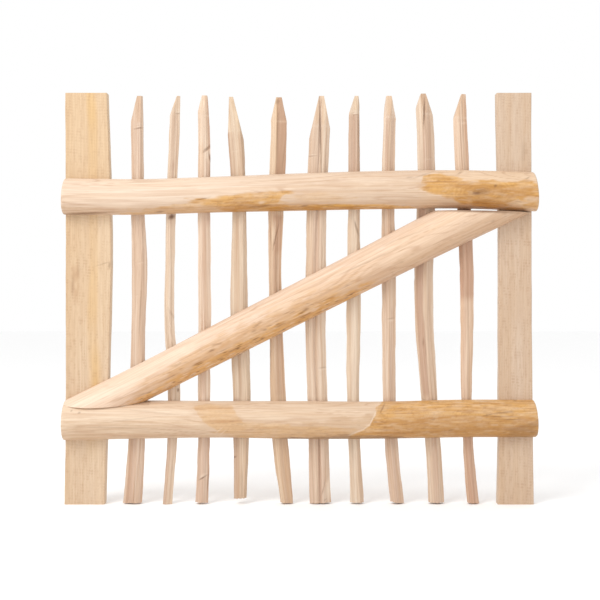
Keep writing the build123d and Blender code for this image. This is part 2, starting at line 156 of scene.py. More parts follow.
# The pales from the hinge side on
PALE_MARKS = (
    mark_rows(
        (-344, 805, 10, 1.5, 80, 0.9, 0.55), (-344, 808, 10, 1.4, 80, -0.3, -0.9),
        (-340, 517, 8, 1.5, 80, 0.6, -0.5), (-347, 446, 9, 1.4, 70, 0.5, -0.4),
        (-340, 410, 60, 1.6, 3, 0.8, 0.45)),
    mark_rows(
        (-259, 840, 6, 1.6, 88, -0.4, -1), (-259, 837, 6, 1.2, 88, 0.8, 0.4),
        (-273, 616, 7, 5, 60, 1.2, 1), (-271, 352, 26, 2.4, -24, -0.5, -0.6),
        (-268, 400, 22, 2.8, -30, 0.5, 0.25), (-259, 245, 4, 2.4, 0, 1.0, 0.8)),
    mark_rows(
        (-196, 762, 12, 3.0, 44, 2.2, 0.55), (-193, 752, 12, 4.2, 30, -0.5, -1),
        (-190, 716, 22, 3.0, 4, 0.5, 0.35), (-191, 742, 16, 1.5, -10, 1.4, 0.8),
        (-204, 62, 8, 3.6, 62, -0.6, -1), (-206, 57, 11, 1.6, 58, 1.2, 0.7),
        (-195, 48, 26, 1.6, 4, 0.8, 0.4)),
    mark_rows(
        (-139, 100, 5, 2.0, 60, 1.5, 0.75), (-134, 757, 11, 1.3, 82, 0.3, -0.5),
        (-160, 772, 16, 2.0, -8, 0.8, 0.5)),
    mark_rows(
        (-54, 582, 24, 3.4, 5, -0.6, -1), (-49, 575, 29, 1.3, 13, 0.8, 0.6),
        (-61, 578, 28, 1.2, -3, 0.5, 0.5), (-45.5, 862, 6, 4.5, 20, 0.6, 0.5),
        (-46.5, 790, 84, 1.4, 1, 0.5, 0.5), (-33, 745, 34, 1.4, 6, 0.5, 0.35)),
    mark_rows(
        (27, 749, 11, 1.3, 88, 0.7, -0.8), (27, 746, 11, 1.2, 88, 0.7, 0.45),
        (51, 289, 10, 1.8, 84, 0.6, -0.8), (52, 293, 9, 1.3, 84, 0.6, 0.3),
        (61, 28, 28, 7.5, 16, -0.5, -1), (52, 32, 22, 1.2, 18, 1.0, 0.35),
        (71, 12, 12, 2.4, 10, 1.0, 0.6), (56, 8, 5, 2, 40, 0.8, 0.5),
        (54, 842, 24, 1.5, -2, -0.3, -0.9), (46, 790, 90, 1.7, -1.5, 1.0, 0.8)),
    mark_rows(
        (121, 838, 9, 1.8, 84, 0.7, -0.9), (121, 834, 8, 1.1, 84, 0.5, 0.35),
        (123, 592, 18, 2.4, -16, 0.8, 0.6), (117, 560, 22, 1.8, 8, -0.4, -0.5)),
    mark_rows(
        (197, 394, 8, 1.8, 80, 0.6, -0.7), (196, 398, 8, 1.2, 80, 0.6, 0.35),
        (187, 829, 8, 1.8, 86, 0.6, -0.9)),
    mark_rows(
        (268, 838, 30, 1.8, 2, 1.6, 0.9), (278, 740, 8, 2.0, 84, 0.8, -0.4),
        (266, 347, 9, 1.8, 2, 0.6, 0.4)),
    # pale 10: its mark at height 630 is painted shade in the slot under the top rail
    mark_rows(
        (349, 817, 9, 2.6, 86, 0.4, -0.9), (355, 630, 22, 3.4, 90, 0, 1)),
)
# A facet is one cleft plane of a pale: its left and right edge as parts of the width, its
# lowest and highest height, and its tone (below 0: browner, above 0: paler). The tone is partly
# the wood's own colour and partly painted light and shade: lighter left and darker right planes
# at the tips stand in for light from the left, and darker planes below the brace for its shadow.
Facet = namedtuple("Facet", "left right low high tone")


def facet_rows(*rows):
    """Facets from rows of their values."""
    return [Facet(*row) for row in rows]


PALE_FACETS = (
    facet_rows(
        (-0.1, 0.45, 805, 900, 0.5), (0.6, 0.66, 690, 870, -0.7), (0.72, 0.76, 690, 850, -0.5),
        (0.8, 1.1, 440, 800, 0.4), (0.12, 0.5, -20, 225, -0.55), (0.86, 1.1, -20, 225, -0.6),
        (-0.1, 0.1, -20, 225, 0.4)),
    facet_rows(
        (-0.1, 0.18, 600, 840, 0.5), (0.2, 0.9, 715, 838, -0.35), (0.45, 0.62, 600, 735, -0.6),
        (-0.1, 0.35, -20, 225, -0.7), (0.9, 1.1, 230, 620, 0.4)),
    facet_rows(
        (-0.1, 0.6, 770, 900, 0.6), (0.8, 1.1, 740, 870, -0.8), (0.74, 1.1, 600, 735, -0.5),
        (0.3, 0.6, 230, 620, -0.35), (0.75, 1.1, -20, 225, -0.8), (-0.1, 0.7, -20, 225, -0.55)),
    facet_rows(
        (-0.1, 1.1, 690, 800, -0.35), (-0.1, 1.1, -20, 225, -0.15), (-0.1, 0.12, 700, 800, -0.5),
        (0.2, 0.34, 700, 790, -0.3), (0.3, 0.5, 230, 620, -0.4), (-0.1, 0.4, -20, 225, -0.5),
        (0.5, 1.1, 790, 900, 0.35)),
    facet_rows(
        (-0.1, 0.33, 690, 900, 0.7), (0.36, 0.42, 690, 860, -1), (0.4, 1.1, 690, 900, -1.0),
        (-0.1, 0.22, 440, 620, -0.3), (0.45, 0.95, 540, 620, -0.5), (0.3, 0.93, 230, 620, -0.6),
        (0.4, 1.1, -20, 225, -0.35)),
    facet_rows(
        (-0.1, 0.5, 690, 870, -0.3), (0.56, 0.78, 690, 870, 0.35), (0.8, 0.88, 690, 870, -0.4),
        (0.3, 0.62, 230, 620, -0.35), (0.68, 1.1, 430, 620, 0.35), (0.48, 0.62, -20, 225, -0.4),
        (-0.1, 1.1, -20, 225, -0.4)),
    facet_rows(
        (-0.1, 1.1, 690, 837, -0.85), (0.44, 0.52, 690, 836, -0.3), (-0.1, 0.3, 230, 640, 0.2),
        (0.7, 1.1, -20, 225, -0.2)),
    facet_rows(
        (-0.1, 0.15, 690, 830, 0.5), (0.2, 0.42, 690, 835, -0.5), (0.62, 0.9, 690, 835, -0.5),
        (0.6, 0.9, 230, 420, -0.3), (-0.1, 0.1, 230, 620, 0.4), (-0.1, 1.1, -20, 225, -0.4)),
    facet_rows(
        (-0.1, 0.34, 690, 900, 1.0), (0.34, 0.4, 690, 880, -0.8), (0.38, 0.9, 690, 900, -0.35),
        (0.1, 0.46, 230, 640, -1.0), (0.5, 1.1, 230, 640, -0.05), (-0.1, 0.1, 230, 640, 0.3),
        (0.35, 0.75, -20, 225, -0.45)),
    # pale 10: the dark band across its whole width from 440 to 640 is painted shade below the
    # brace
    facet_rows(
        (-0.1, 0.12, 690, 860, 0.4), (0.82, 1.1, 690, 870, -0.7), (-0.1, 1.1, 440, 640, -0.95),
        (0.25, 0.4, 440, 640, 0.3), (0.2, 0.75, -20, 225, -0.5), (0.15, 0.4, 230, 420, -0.3),
        (-0.1, 1.1, -20, 225, -0.5)),
)
# A zone is a field of colour along a pole: the mask it goes into, its strength, how far noise
# frays its edge, and its outline as (place along the pole, lower edge, upper edge).
# Zones in the low mask that lie along a pole's lower half are painted shade; the other low zones
# are darker tone of its own.
Zone = namedtuple("Zone", "mask strength fray outline")
RAIL_TOP_ZONES = (
    Zone("stain", 0.42, 5.0, (
        (-380, 600, 622), (-300, 600, 633), (-212, 600, 648), (-152, 600, 657), (-94, 600, 661),
        (-60, 600, 660), (-45, 600, 648), (-20, 600, 640))),
    Zone("stain", 0.8, 3.4, (
        (-225, 644, 648), (-190, 636, 653), (-152, 622, 659), (-94, 600, 664), (-54, 600, 666),
        (-48, 636, 666.5), (-38, 652, 667), (-27, 664, 667))),
    Zone("stain", 0.95, 1.8, (
        (-150, 600, 634), (-60, 600, 643), (-15, 600, 640), (88, 600, 640.5), (173, 600, 640),
        (237, 600, 637), (268, 600, 631))),
    Zone("stain", 0.2, 5, ((-10, 645, 662), (40, 642, 664), (110, 648, 658))),
    Zone("stain_low", 1.0, 2.6, (
        (-330, 600, 626), (-200, 600, 636), (-90, 600, 641), (20, 600, 636.5), (190, 600, 634),
        (262, 600, 632))),
    Zone("stain", 0.82, 4.2, (
        (256, 672, 682), (263, 668, 696), (276, 664, 703), (297, 659, 706), (310, 657, 704),
        (327, 652, 699), (338, 645, 694), (351, 639, 690), (374, 636, 688), (404, 634, 688),
        (434, 634, 690), (473, 632, 689), (512, 634, 684))),
    Zone("stain", 0.08, 7, ((278, 600, 730), (300, 680, 730), (400, 670, 730), (512, 670, 730))),
    Zone("stain_low", 0.6, 7, (
        (345, 655, 678), (383, 648, 682), (430, 648, 678), (500, 655, 672))),
    Zone("warm", 0.5, 6, ((270, 600, 730), (510, 600, 730))),
    Zone("low", 0.9, 3, ((-510, 600, 636), (-430, 600, 631), (-300, 600, 632), (-120, 600, 630))),
    Zone("low", 0.5, 12, ((-60, 600, 672), (60, 600, 690), (265, 600, 690))),
    Zone("low", 0.3, 9, ((-130, 672, 730), (100, 680, 730), (290, 690, 730))),
    Zone("bare", 0.55, 2.4, ((440, 636, 642), (462, 635, 650), (478, 637, 643))),
    Zone("bare", 0.5, 2.4, ((472, 646, 650), (490, 644, 657), (504, 648, 653))),
)
RAIL_TOP_MARKS = mark_rows(
    (382, 666, 20, 7, 86, -1.2, 0.5), (375, 663, 10, 4, 86, 0.6, 0.85),
    (353, 711, 12, 5, 40, -2.0, -0.3), (341, 707, 8, 2.2, 60, 0.6, 0.4),
    (414, 678, 4, 3, 60, 0.4, 0.7), (426, 662, 9, 7, 60, 0, 0.2),
    (-79, 644, 8, 3.4, 84, 0.4, -0.8), (-70, 638, 12, 1.6, 84, 0.3, 0.5),
    (262, 702, 26, 1.6, 70, 0.4, 0.3), (484, 696, 6, 1.2, 60, 0.3, 0.5),
    (233, 696.5, 8, 1.6, 84, 0.3, 0.4), (-203, 651, 12, 1.1, 80, 0.5, 0.7),
    (-296, 625, 10, 1.6, 84, 0.5, 0.6), (-455, 622, 54, 2.2, 88, 0.5, 0.7),
    (11, 637, 8, 1.4, 84, 0.5, 0.7), (60, 638, 12, 1.0, 86, 0.5, 0.6),
    (-88, 635, 26, 1.4, 88, 0.4, 0.6))
RAIL_BOTTOM_ZONES = (
    Zone("stain", 0.78, 1.8, (
        (103, 100, 148), (121, 100, 157), (133, 100, 161.6), (149, 100, 173), (160, 100, 192),
        (164, 100, 198), (157, 100, 206), (170, 100, 214), (186, 100, 226), (510, 100, 230))),
    Zone("bare", 0.7, 0.8, (
        (105, 149, 152), (121, 156, 160), (134, 161, 165), (149, 172, 177), (162, 197, 204),
        (169, 212, 219))),
    Zone("stain", 0.32, 3, (
        (-222, 210, 216), (-210, 191, 217), (-193, 174, 217), (-167, 159, 217), (-142, 150, 215),
        (-133, 146, 199), (-118, 143, 179), (-50, 138, 176), (45, 132, 170), (112, 128, 166))),
    Zone("low", 0.45, 5, (
        (-215, 196, 217), (-193, 176, 217), (-150, 155, 217), (-118, 146, 190), (-60, 130, 182))),
    # a dark band along the rail's lower edge: painted shade
    Zone("dark", 0.62, 3.0, (
        (-60, 100, 142), (0, 100, 147), (100, 100, 152), (184, 100, 150), (260, 100, 143))),
    Zone("low", 0.65, 6, ((-510, 100, 178), (-150, 100, 178), (60, 100, 172))),
    Zone("low", 0.26, 12, ((-180, 100, 240), (0, 100, 240), (175, 100, 240))),
    Zone("low", 0.9, 6, ((-20, 120, 176), (60, 130, 186), (165, 150, 196))),
    Zone("stain", 0.3, 7, ((-150, 100, 165), (0, 100, 168), (120, 100, 166))),
    Zone("stain_low", 0.9, 9, ((150, 100, 180), (350, 100, 186), (510, 100, 182))),
    Zone("dark", 0.4, 6, ((440, 100, 166), (480, 100, 172), (512, 100, 190))),
    Zone("dark", 0.12, 9, ((186, 150, 206), (510, 150, 206))),
)
RAIL_BOTTOM_MARKS = mark_rows(
    (284, 187, 7, 1.4, 84, 0.4, 0.6), (418, 192, 16, 1.6, 86, 0.5, 0.5),
    (320, 163, 7, 1.6, 80, 0.5, 0.6), (494, 158, 9, 3.0, 84, 0.6, 0.6),
    (462, 224, 5, 1.4, 80, 0.3, 0.5), (-480, 204, 2.2, 1.4, 80, 0.2, 0.6),
    (-463, 200, 3.0, 1.6, 80, 0.2, 0.6), (-168, 163, 9, 1.2, 50, 0.2, -0.7),
    (-160, 158, 9, 1.2, 50, 0.2, -0.6), (176, 207, 12, 1.8, 30, 0.6, 0.6),
    (430, 200, 22, 1.4, 86, 0.6, 0.8), (398, 195, 12, 1.6, 80, 0.5, 0.7),
    (452, 186, 20, 1.3, 88, 0.5, 0.7), (-350, 186, 70, 1.2, 84, 0.2, 0.25),
    (-380, 168, 90, 1.2, 92, 0.2, 0.25), (-300, 200, 60, 1.2, 96, 0.2, 0.2))
BRACE_ZONES = (
    Zone("stain", 0.7, 6, (
        (20, -50, -36), (150, -50, -28), (300, -50, -16), (620, -50, -22), (700, -50, -34))),
    Zone("stain", 0.3, 14, ((180, -50, -4), (320, -50, 8), (420, -50, 6), (640, -50, -4))),
    Zone("low", 0.8, 9, (
        (120, -50, -16), (300, -50, 6), (420, -50, 4), (640, -50, -4), (800, -50, -18))),
    # a lighter upper side over the brace's lower half: painted highlight
    Zone("bare", 0.6, 6, ((-60, -14, 50), (120, -6, 50), (220, 12, 50), (320, 20, 50))),
    Zone("warm", 0.45, 8, ((480, -10, 22), (700, -30, 24), (900, -40, 30), (1090, -50, 50))),
    Zone("low", 0.3, 7, ((760, -50, -18), (1100, -50, -22))),
    # the last two zones darken the brace's upper end below its middle: its own brown, and along
    # its lower edge a line of painted shade
    Zone("low", 1.0, 3, ((985, -60, -24), (1110, -60, -20))),
    Zone("stain_low", 0.8, 2, ((985, -60, -45), (1110, -60, -38))),
)
BRACE_MARKS = mark_rows(
    (-184, 331, 6, 2.4, 62, 0.6, 0.7), (14, 417, 8, 2.4, 62, 0.8, 0.7),
    (-95, 372, 7, 2.0, 64, 0.6, 0.5), (-40, 384, 12, 1.6, 62, 0.6, 0.6),
    (-215, 303, 12, 1.6, 62, 0.6, 0.6), (-150, 402, 8, 1.2, 62, 0.5, 0.4),
    (60, 440, 16, 1.3, 62, 0.6, 0.5), (441, 617, 14, 5, 62, 0.2, -0.3),
    # a dark line along the top edge of the brace's upper cut: painted shade in the gap under the
    # top rail
    (375, 625, 86, 3.6, 91.6, 0, 0.9), (-120, 421, 60, 1.3, 63, 0.3, 0.35),
    (150, 520, 90, 1.4, 66, 0.3, 0.35), (230, 573, 50, 1.2, 70, 0.3, 0.25))
STILE_HINGE_MARKS = mark_rows(
    (-484, 470, 20, 3, 2, 0.2, 0.3), (-472, 500, 12, 4, 3, 0.2, 0.2),
    (-419, 515, 16, 1.1, 72, 0.3, 0.4), (-405, 512, 8, 2.4, 4, 0.6, 0.6),
)
# the last latch stile mark is painted shade: a dark line in the slot between the top rail and the
# brace
STILE_LATCH_MARKS = mark_rows(
    (485.6, 784, 11, 4, 2, -0.2, -1), (481, 758, 26, 6, 4, 0, 0.2), (470, 629, 62, 3.4, 90, 0, 1),
)


# ---------------------------------------------------------------- surface arithmetic
def smooth_line(places, values, at):
    """Curve through (place, value) points. Between two points it is a cubic whose slopes at
    both are the mean slopes to their neighbours, so it bends without a kink."""
    places, values = np.asarray(places, float), np.asarray(values, float)
    slopes = np.gradient(values, places)
    index = np.clip(np.searchsorted(places, at) - 1, 0, len(places) - 2)
    run = places[index + 1] - places[index]
    part = np.clip((at - places[index]) / run, 0, 1)
    rise = values[index + 1] - values[index]
    hump = part * (1 - part)
    lead = (slopes[index] * run - rise) * (1 - part)
    trail = (rise - slopes[index + 1] * run) * part
    return values[index] + rise * part + hump * (lead + trail)


def step(low, high, value):
    """0 below low, 1 above high, and three times the square less twice the cube between."""
    part = np.clip((value - low) / (high - low), 0, 1)
    return part * part * (3 - 2 * part)


WEIGHT_I, WEIGHT_J, WEIGHT_K, WEIGHT_SEED, SINE_SIZE = 12.9898, 78.233, 37.719, 19.19, 43758.5453


def lattice(i, j, k, seed):
    """A repeatable number between -1 and 1 for each whole-number point: the fraction left
    by a large sine of a weighted sum of its coordinates."""
    angle = i * WEIGHT_I + j * WEIGHT_J + k * WEIGHT_K + seed * WEIGHT_SEED
    wave = np.sin(angle) * SINE_SIZE
    return 2 * (wave - np.floor(wave)) - 1


def noise(x, y, z, seed):
    """Value noise between -1 and 1: the numbers of the eight lattice points round each place,
    blended along each axis by three times the square less twice the cube."""
    i, j, k = np.floor(x), np.floor(y), np.floor(z)
    u, v, w = (step(0, 1, part) for part in (x - i, y - j, z - k))
    total = 0
    for di, weight_i in ((0, 1 - u), (1, u)):
        for dj, weight_j in ((0, 1 - v), (1, v)):
            for dk, weight_k in ((0, 1 - w), (1, w)):
                corner = lattice(i + di, j + dj, k + dk, seed)
                total = total + weight_i * weight_j * weight_k * corner
    return total


# A noise drawn out along the grain: how long and how wide its lumps are, a salt that makes
# it differ from the piece's other noises, and its octaves.
Lumps = namedtuple("Lumps", "long wide salt octaves", defaults=(2,))


def drawn(lumps, along, side, deep, seed):
    """One of a piece's own noises, at places along, across and into its grain. Each octave
    halves the lumps and the height."""
    total, height = 0, 1
    for octave in range(lumps.octaves):
        shrink = 2 ** octave
        total = total + height * noise(
            along / lumps.long * shrink, side / lumps.wide * shrink,
            deep / lumps.wide * shrink, seed + lumps.salt + octave)
        height = height / 2
    return total


def drawn_along(lumps, along, seed):
    """One of a piece's own noises as a line that changes along the grain only."""
    return drawn(lumps, along, along * 0, along * 0, seed)


def turned(mark, x, z):
    """Distances from a mark's middle along and across it, as parts of its half sizes."""
    lean = radians(mark.lean)
    dx, dz = x - mark.x, z - mark.z
    along, side = dx * sin(lean) + dz * cos(lean), dx * cos(lean) - dz * sin(lean)
    return along / mark.long, side / mark.wide


def cut_marks(marks, x, z, seed):
    """Depth, darkness and freshness of a piece's marks: each is a bell over its own ellipse,
    whose edge is frayed by noise."""
    deep, dark, fresh = np.zeros(x.shape), np.zeros(x.shape), np.zeros(x.shape)
    for number, mark in enumerate(marks):
        along, side = turned(mark, x, z)
        fray = 0.35 * noise(x / 2.5, z / 4, x * 0, seed + number)
        bell = np.exp(-((along ** 2 + side ** 2) ** 1.5) * (1 + fray))
        deep += mark.deep * bell
        dark, fresh = np.maximum(dark, mark.dark * bell), np.maximum(fresh, -mark.dark * bell)
    return deep, dark, fresh


ZONE_FRAY = Lumps(24, 4.5, 0, 3)
FACET_DRIFT, FACET_EDGE, FACET_FOOT_FADE, FACET_TOP_FADE = Lumps(70, 5, 0), 0.035, 12, 8


def zone_cover(zone, along, up, seed):
    """Strength of a zone: all of it inside the outline and none outside. Noise drawn out along
    the grain moves the edge in and out."""
    places, lows, highs = np.array(zone.outline, float).T
    low, high = np.interp(along, places, lows), np.interp(along, places, highs)
    ends = 0.25 * np.minimum(along - places[0], places[-1] - along)
    inside = np.minimum(np.minimum(up - low, high - up), ends)
    fray = zone.fray * drawn(ZONE_FRAY, along, up, up * 0, seed)
    soft = max(1.2, 0.9 * zone.fray)
    return zone.strength * step(-soft, soft, inside + fray)


def facet_tone(facets, share, height, seed):
    """Tone of a pale's cleft planes at a share of its width. Every plane's edge wanders with
    slow noise, and its ends fade out over a few centimetres."""
    edge, foot, top = FACET_EDGE, FACET_FOOT_FADE, FACET_TOP_FADE
    tone = np.zeros(share.shape)
    for number, facet in enumerate(facets):
        at = share + edge * drawn_along(FACET_DRIFT, height, seed + number)
        cover = step(facet.left - edge, facet.left + edge, at) * step(
            facet.right + edge, facet.right - edge, at)
        cover = cover * step(facet.low - foot, facet.low + foot, height) * step(
            facet.high + top, facet.high - top, height)
        tone = tone + facet.tone * cover
    return np.clip(tone, -1, 1)


# ---------------------------------------------------------------- meshes
SHARP_ANGLE = radians(50)
# Each end of a piece is closed by its last ring drawn in to these parts of its size
CAP_SHARES = (0.06, 0.3, 0.55, 0.8, 0.93)


def with_middles(vectors):
    """Vectors point by point, and then the middles of the first and of the last ring."""
    return np.concatenate([vectors.reshape(-1, 3), vectors[:1].mean(1), vectors[-1:].mean(1)])


def closed_tube(name, rings, masks, grain):
    """A mesh from rings of points (station, around, xyz in millimetres). Quads join
    neighbouring rings, and each end closes on a point in its middle. Every mask and the grain
    coordinates become attributes of the points."""
    count, around = rings.shape[:2]
    points = with_middles(rings)
    points[:, 2] = np.maximum(points[:, 2], 0)  # nothing goes below the floor
    station, turn = np.meshgrid(np.arange(count - 1), np.arange(around), indexing="ij")
    here, ahead = station * around + turn, station * around + (turn + 1) % around
    quads = np.stack([here, ahead, ahead + around, here + around], -1).reshape(-1, 4)
    first, last = count * around, count * around + 1
    turn = np.arange(around)
    low = np.stack([(turn + 1) % around, turn, np.full(around, first)], -1)
    top = (count - 1) * around
    high = np.stack([top + turn, top + (turn + 1) % around, np.full(around, last)], -1)
    corners = np.concatenate([quads.ravel(), low.ravel(), high.ravel()])
    sizes = np.concatenate([np.full(len(quads), 4), np.full(2 * around, 3)])
    starts = np.concatenate([[0], np.cumsum(sizes)[:-1]])

    mesh = bpy.data.meshes.new(name)
    mesh.vertices.add(len(points))
    mesh.vertices.foreach_set("co", (points * MM).astype(np.float32).ravel())
    mesh.loops.add(len(corners))
    mesh.loops.foreach_set("vertex_index", corners.astype(np.int32))
    mesh.polygons.add(len(sizes))
    mesh.polygons.foreach_set("loop_start", starts.astype(np.int32))
    mesh.update(calc_edges=True)
    mesh.polygons.foreach_set("use_smooth", np.ones(len(sizes), bool))
    mesh.set_sharp_from_angle(angle=SHARP_ANGLE)

    for mask, values in masks.items():
        flat = np.concatenate([values.reshape(-1), [values[0].mean(), values[-1].mean()]])
        layer = mesh.attributes.new(mask, "FLOAT", "POINT")
        layer.data.foreach_set("value", np.clip(flat, 0, 1).astype(np.float32))
    layer = mesh.attributes.new("grain", "FLOAT_VECTOR", "POINT")
    layer.data.foreach_set("vector", (with_middles(grain) * MM).astype(np.float32).ravel())
    mesh.update()
    piece = bpy.data.objects.new(name, mesh)
    bpy.context.scene.collection.objects.link(piece)
    return piece


def with_caps(values):
    """A piece's values by ring, with its first and last ring's values carried over its caps."""
    grown = len(CAP_SHARES)
    return np.concatenate([values[:1].repeat(grown, 0), values, values[-1:].repeat(grown, 0)])


# ---------------------------------------------------------------- poles
Pole = namedtuple("Pole", "places lows highs origin direction upward")
POLE_TURNS, POLE_FLATS, POLE_LENGTHS = 62, 18, 620
# Rings crowd towards each cut, where the arris is eased: parts of the length between the cuts
CROWDED = np.array([0, 0.0004, 0.0011, 0.0022])
EVEN_FROM = 0.0035
CUT_TRIES = 8
MEAN_RADIUS = 38
SHAVED, RIPPLES, RAISED_FIBRES = Lumps(210, 26, 0), Lumps(34, 7, 5), Lumps(46, 2.2, 9)
MOTTLE, RUNS, THREADS = Lumps(26, 6, 80, 3), Lumps(44, 4, 84, 3), Lumps(80, 2.6, 88)
PALE_SPOTS, FLECKS = Lumps(18, 3.6, 92), Lumps(14, 2.4, 40)
GROWTH, GROWTH_WEIGHT = Lumps(330, 46, 60), Lumps(70, 12, 64)
CAP_HEART = 0.42  # the middle of a half disc lies this far in front of its flat, in radii


def rail_pole(low, high):
    """A level pole: its girth at evenly spaced x, seated on the plane of the stiles."""
    places = np.linspace(*RAIL_STATIONS, len(low))
    return Pole(places, low, high, np.array([0, SEAT_Y, 0]), np.array([1.0, 0, 0]),
                np.array([0, 0, 1.0]))


def brace_pole():
    """The climbing pole: its girth at evenly spaced places along its slope."""
    rise = BRACE_SLOPE
    return Pole(np.linspace(*BRACE_STATIONS, len(BRACE_LOW)), BRACE_LOW, BRACE_HIGH,
                np.array([BRACE_START[0], SEAT_Y, BRACE_START[1]]),
                np.array([cos(rise), 0, sin(rise)]), np.array([-sin(rise), 0, cos(rise)]))


def pole_points(pole, s, up, forward, swell=0, ease=0):
    """Points of a half-round pole. At s along its line the section runs from the lower to the
    upper edge: point = origin + s * direction + (middle + radius * up) * upward, and it comes
    forwards by radius * forward. Swell and ease add to and take from the radius."""
    low, high = (smooth_line(pole.places, edge, s) for edge in (pole.lows, pole.highs))
    radius = (high - low) / 2 + swell - ease
    across = (low + high) / 2 + radius * up
    points = pole.origin + s[..., None] * pole.direction + across[..., None] * pole.upward
    points[..., 1] -= radius * forward
    return points, radius


def pole_cut(pole, planes, up, forward, high_end):
    """Where each line along the pole meets the nearest of its cutting planes: s is moved by
    the point's distance from the plane over the direction's share of the plane's normal,
    until it stays."""
    s = np.full(up.shape, pole.places[-1] if high_end else pole.places[0], float)
    for _ in range(CUT_TRIES):
        points, _ = pole_points(pole, s, up, forward)
        meets = [s + (at - points) @ normal / (pole.direction @ normal) for at, normal in planes]
        s = np.min(meets, axis=0) if high_end else np.max(meets, axis=0)
    return s


def sawn_pole(name, pole, cuts, relief, bevel, paint, flatten=None):
    """A half-round pole between its cuts. Rings run evenly from cut to cut along every line
    of the section, and each cut is closed by the same section drawn in towards its heart."""
    angle = np.linspace(-pi / 2, pi / 2, POLE_TURNS)
    across = np.linspace(1, -1, POLE_FLATS + 2)[1:-1]
    up = np.concatenate([np.sin(angle), across])
    forward = np.concatenate([np.cos(angle), np.zeros(POLE_FLATS)])
    around = np.concatenate([angle, np.full(POLE_FLATS, pi / 2)])

    start = pole_cut(pole, cuts[0], up, forward, False)
    stop = pole_cut(pole, cuts[1], up, forward, True)
    even = np.linspace(EVEN_FROM, 1 - EVEN_FROM, POLE_LENGTHS)
    part = np.concatenate([CROWDED, even, 1 - CROWDED[::-1]])
    s = start + part[:, None] * (stop - start)
    to_end = np.clip(bevel - np.minimum(s - start, stop - s), 0, bevel)
    ease = bevel - np.sqrt(bevel ** 2 - to_end ** 2)
    face = step(0, 0.35, forward)
    swell = relief(s, around * np.ones_like(s)) * face
    body, radius = pole_points(pole, s, up * np.ones_like(s), forward * np.ones_like(s),
                               swell, ease)
    grain = np.stack([s, radius * up, radius * forward], -1)

    def cap(planes, high_end):
        rings, lines = [], []
        for share in CAP_SHARES:
            cap_up, cap_forward = up * share, CAP_HEART + (forward - CAP_HEART) * share
            cap_s = pole_cut(pole, planes, cap_up, cap_forward, high_end)
            points, reach = pole_points(pole, cap_s, cap_up, cap_forward, 0, bevel * share)
            rings.append(points)
            lines.append(np.stack([cap_s, reach * cap_up, reach * cap_forward], -1))
        return np.array(rings), np.array(lines)

    low_cap, low_grain = cap(cuts[0], False)
    high_cap, high_grain = cap(cuts[1], True)
    rings = np.concatenate([low_cap, body, high_cap[::-1]])
    grain = np.concatenate([low_grain, grain, high_grain[::-1]])
    if flatten:
        rings = flatten(rings)
    sawn = np.zeros(rings.shape[:2])
    sawn[:len(low_cap)], sawn[-len(high_cap):] = 1, 1
    masks, deep = paint(rings, grain)
    rings[..., 1] += deep * np.where(rings[..., 1] < SEAT_Y - 1, 1, 0)
    masks = {key: value * (1 - sawn) for key, value in masks.items()}
    masks["sawn"] = sawn
    return closed_tube(name, rings, masks, grain)


def shaved_relief(seed, flats, ripple, fibre):
    """How far a shaved pole's face stands out: long shallow flats left by the drawknife,
    short ripples and fine raised fibres, each a noise drawn out along the pole."""
    def relief(s, angle):
        girth = angle * MEAN_RADIUS
        return sum(height * drawn(lumps, s, girth, girth * 0, seed) for height, lumps in (
            (flats, SHAVED), (ripple, RIPPLES), (fibre, RAISED_FIBRES)))
    return relief


RING_SPACING = 15  # of the growth lines across a pole
# The brace's growth lines arch round (place along it, place across it), over half sizes
ARCH_AT, ARCH_HALF, ARCH_RISE = (615, 3), (85, 19), 2.8


def knot_rings(mark, x, z, seed):
    """Fine rings round a knot: a sine of the distance from it, frayed by noise, which fades
    out over six of its sizes."""
    along, side = turned(mark, x, z)
    far = np.hypot(along, side * 0.8) + 0.25 * noise(x / 14, z / 7, x * 0, seed)
    return (0.5 + 0.5 * np.sin(2 * pi * far / 0.5)) * step(6.5, 1.2, far)


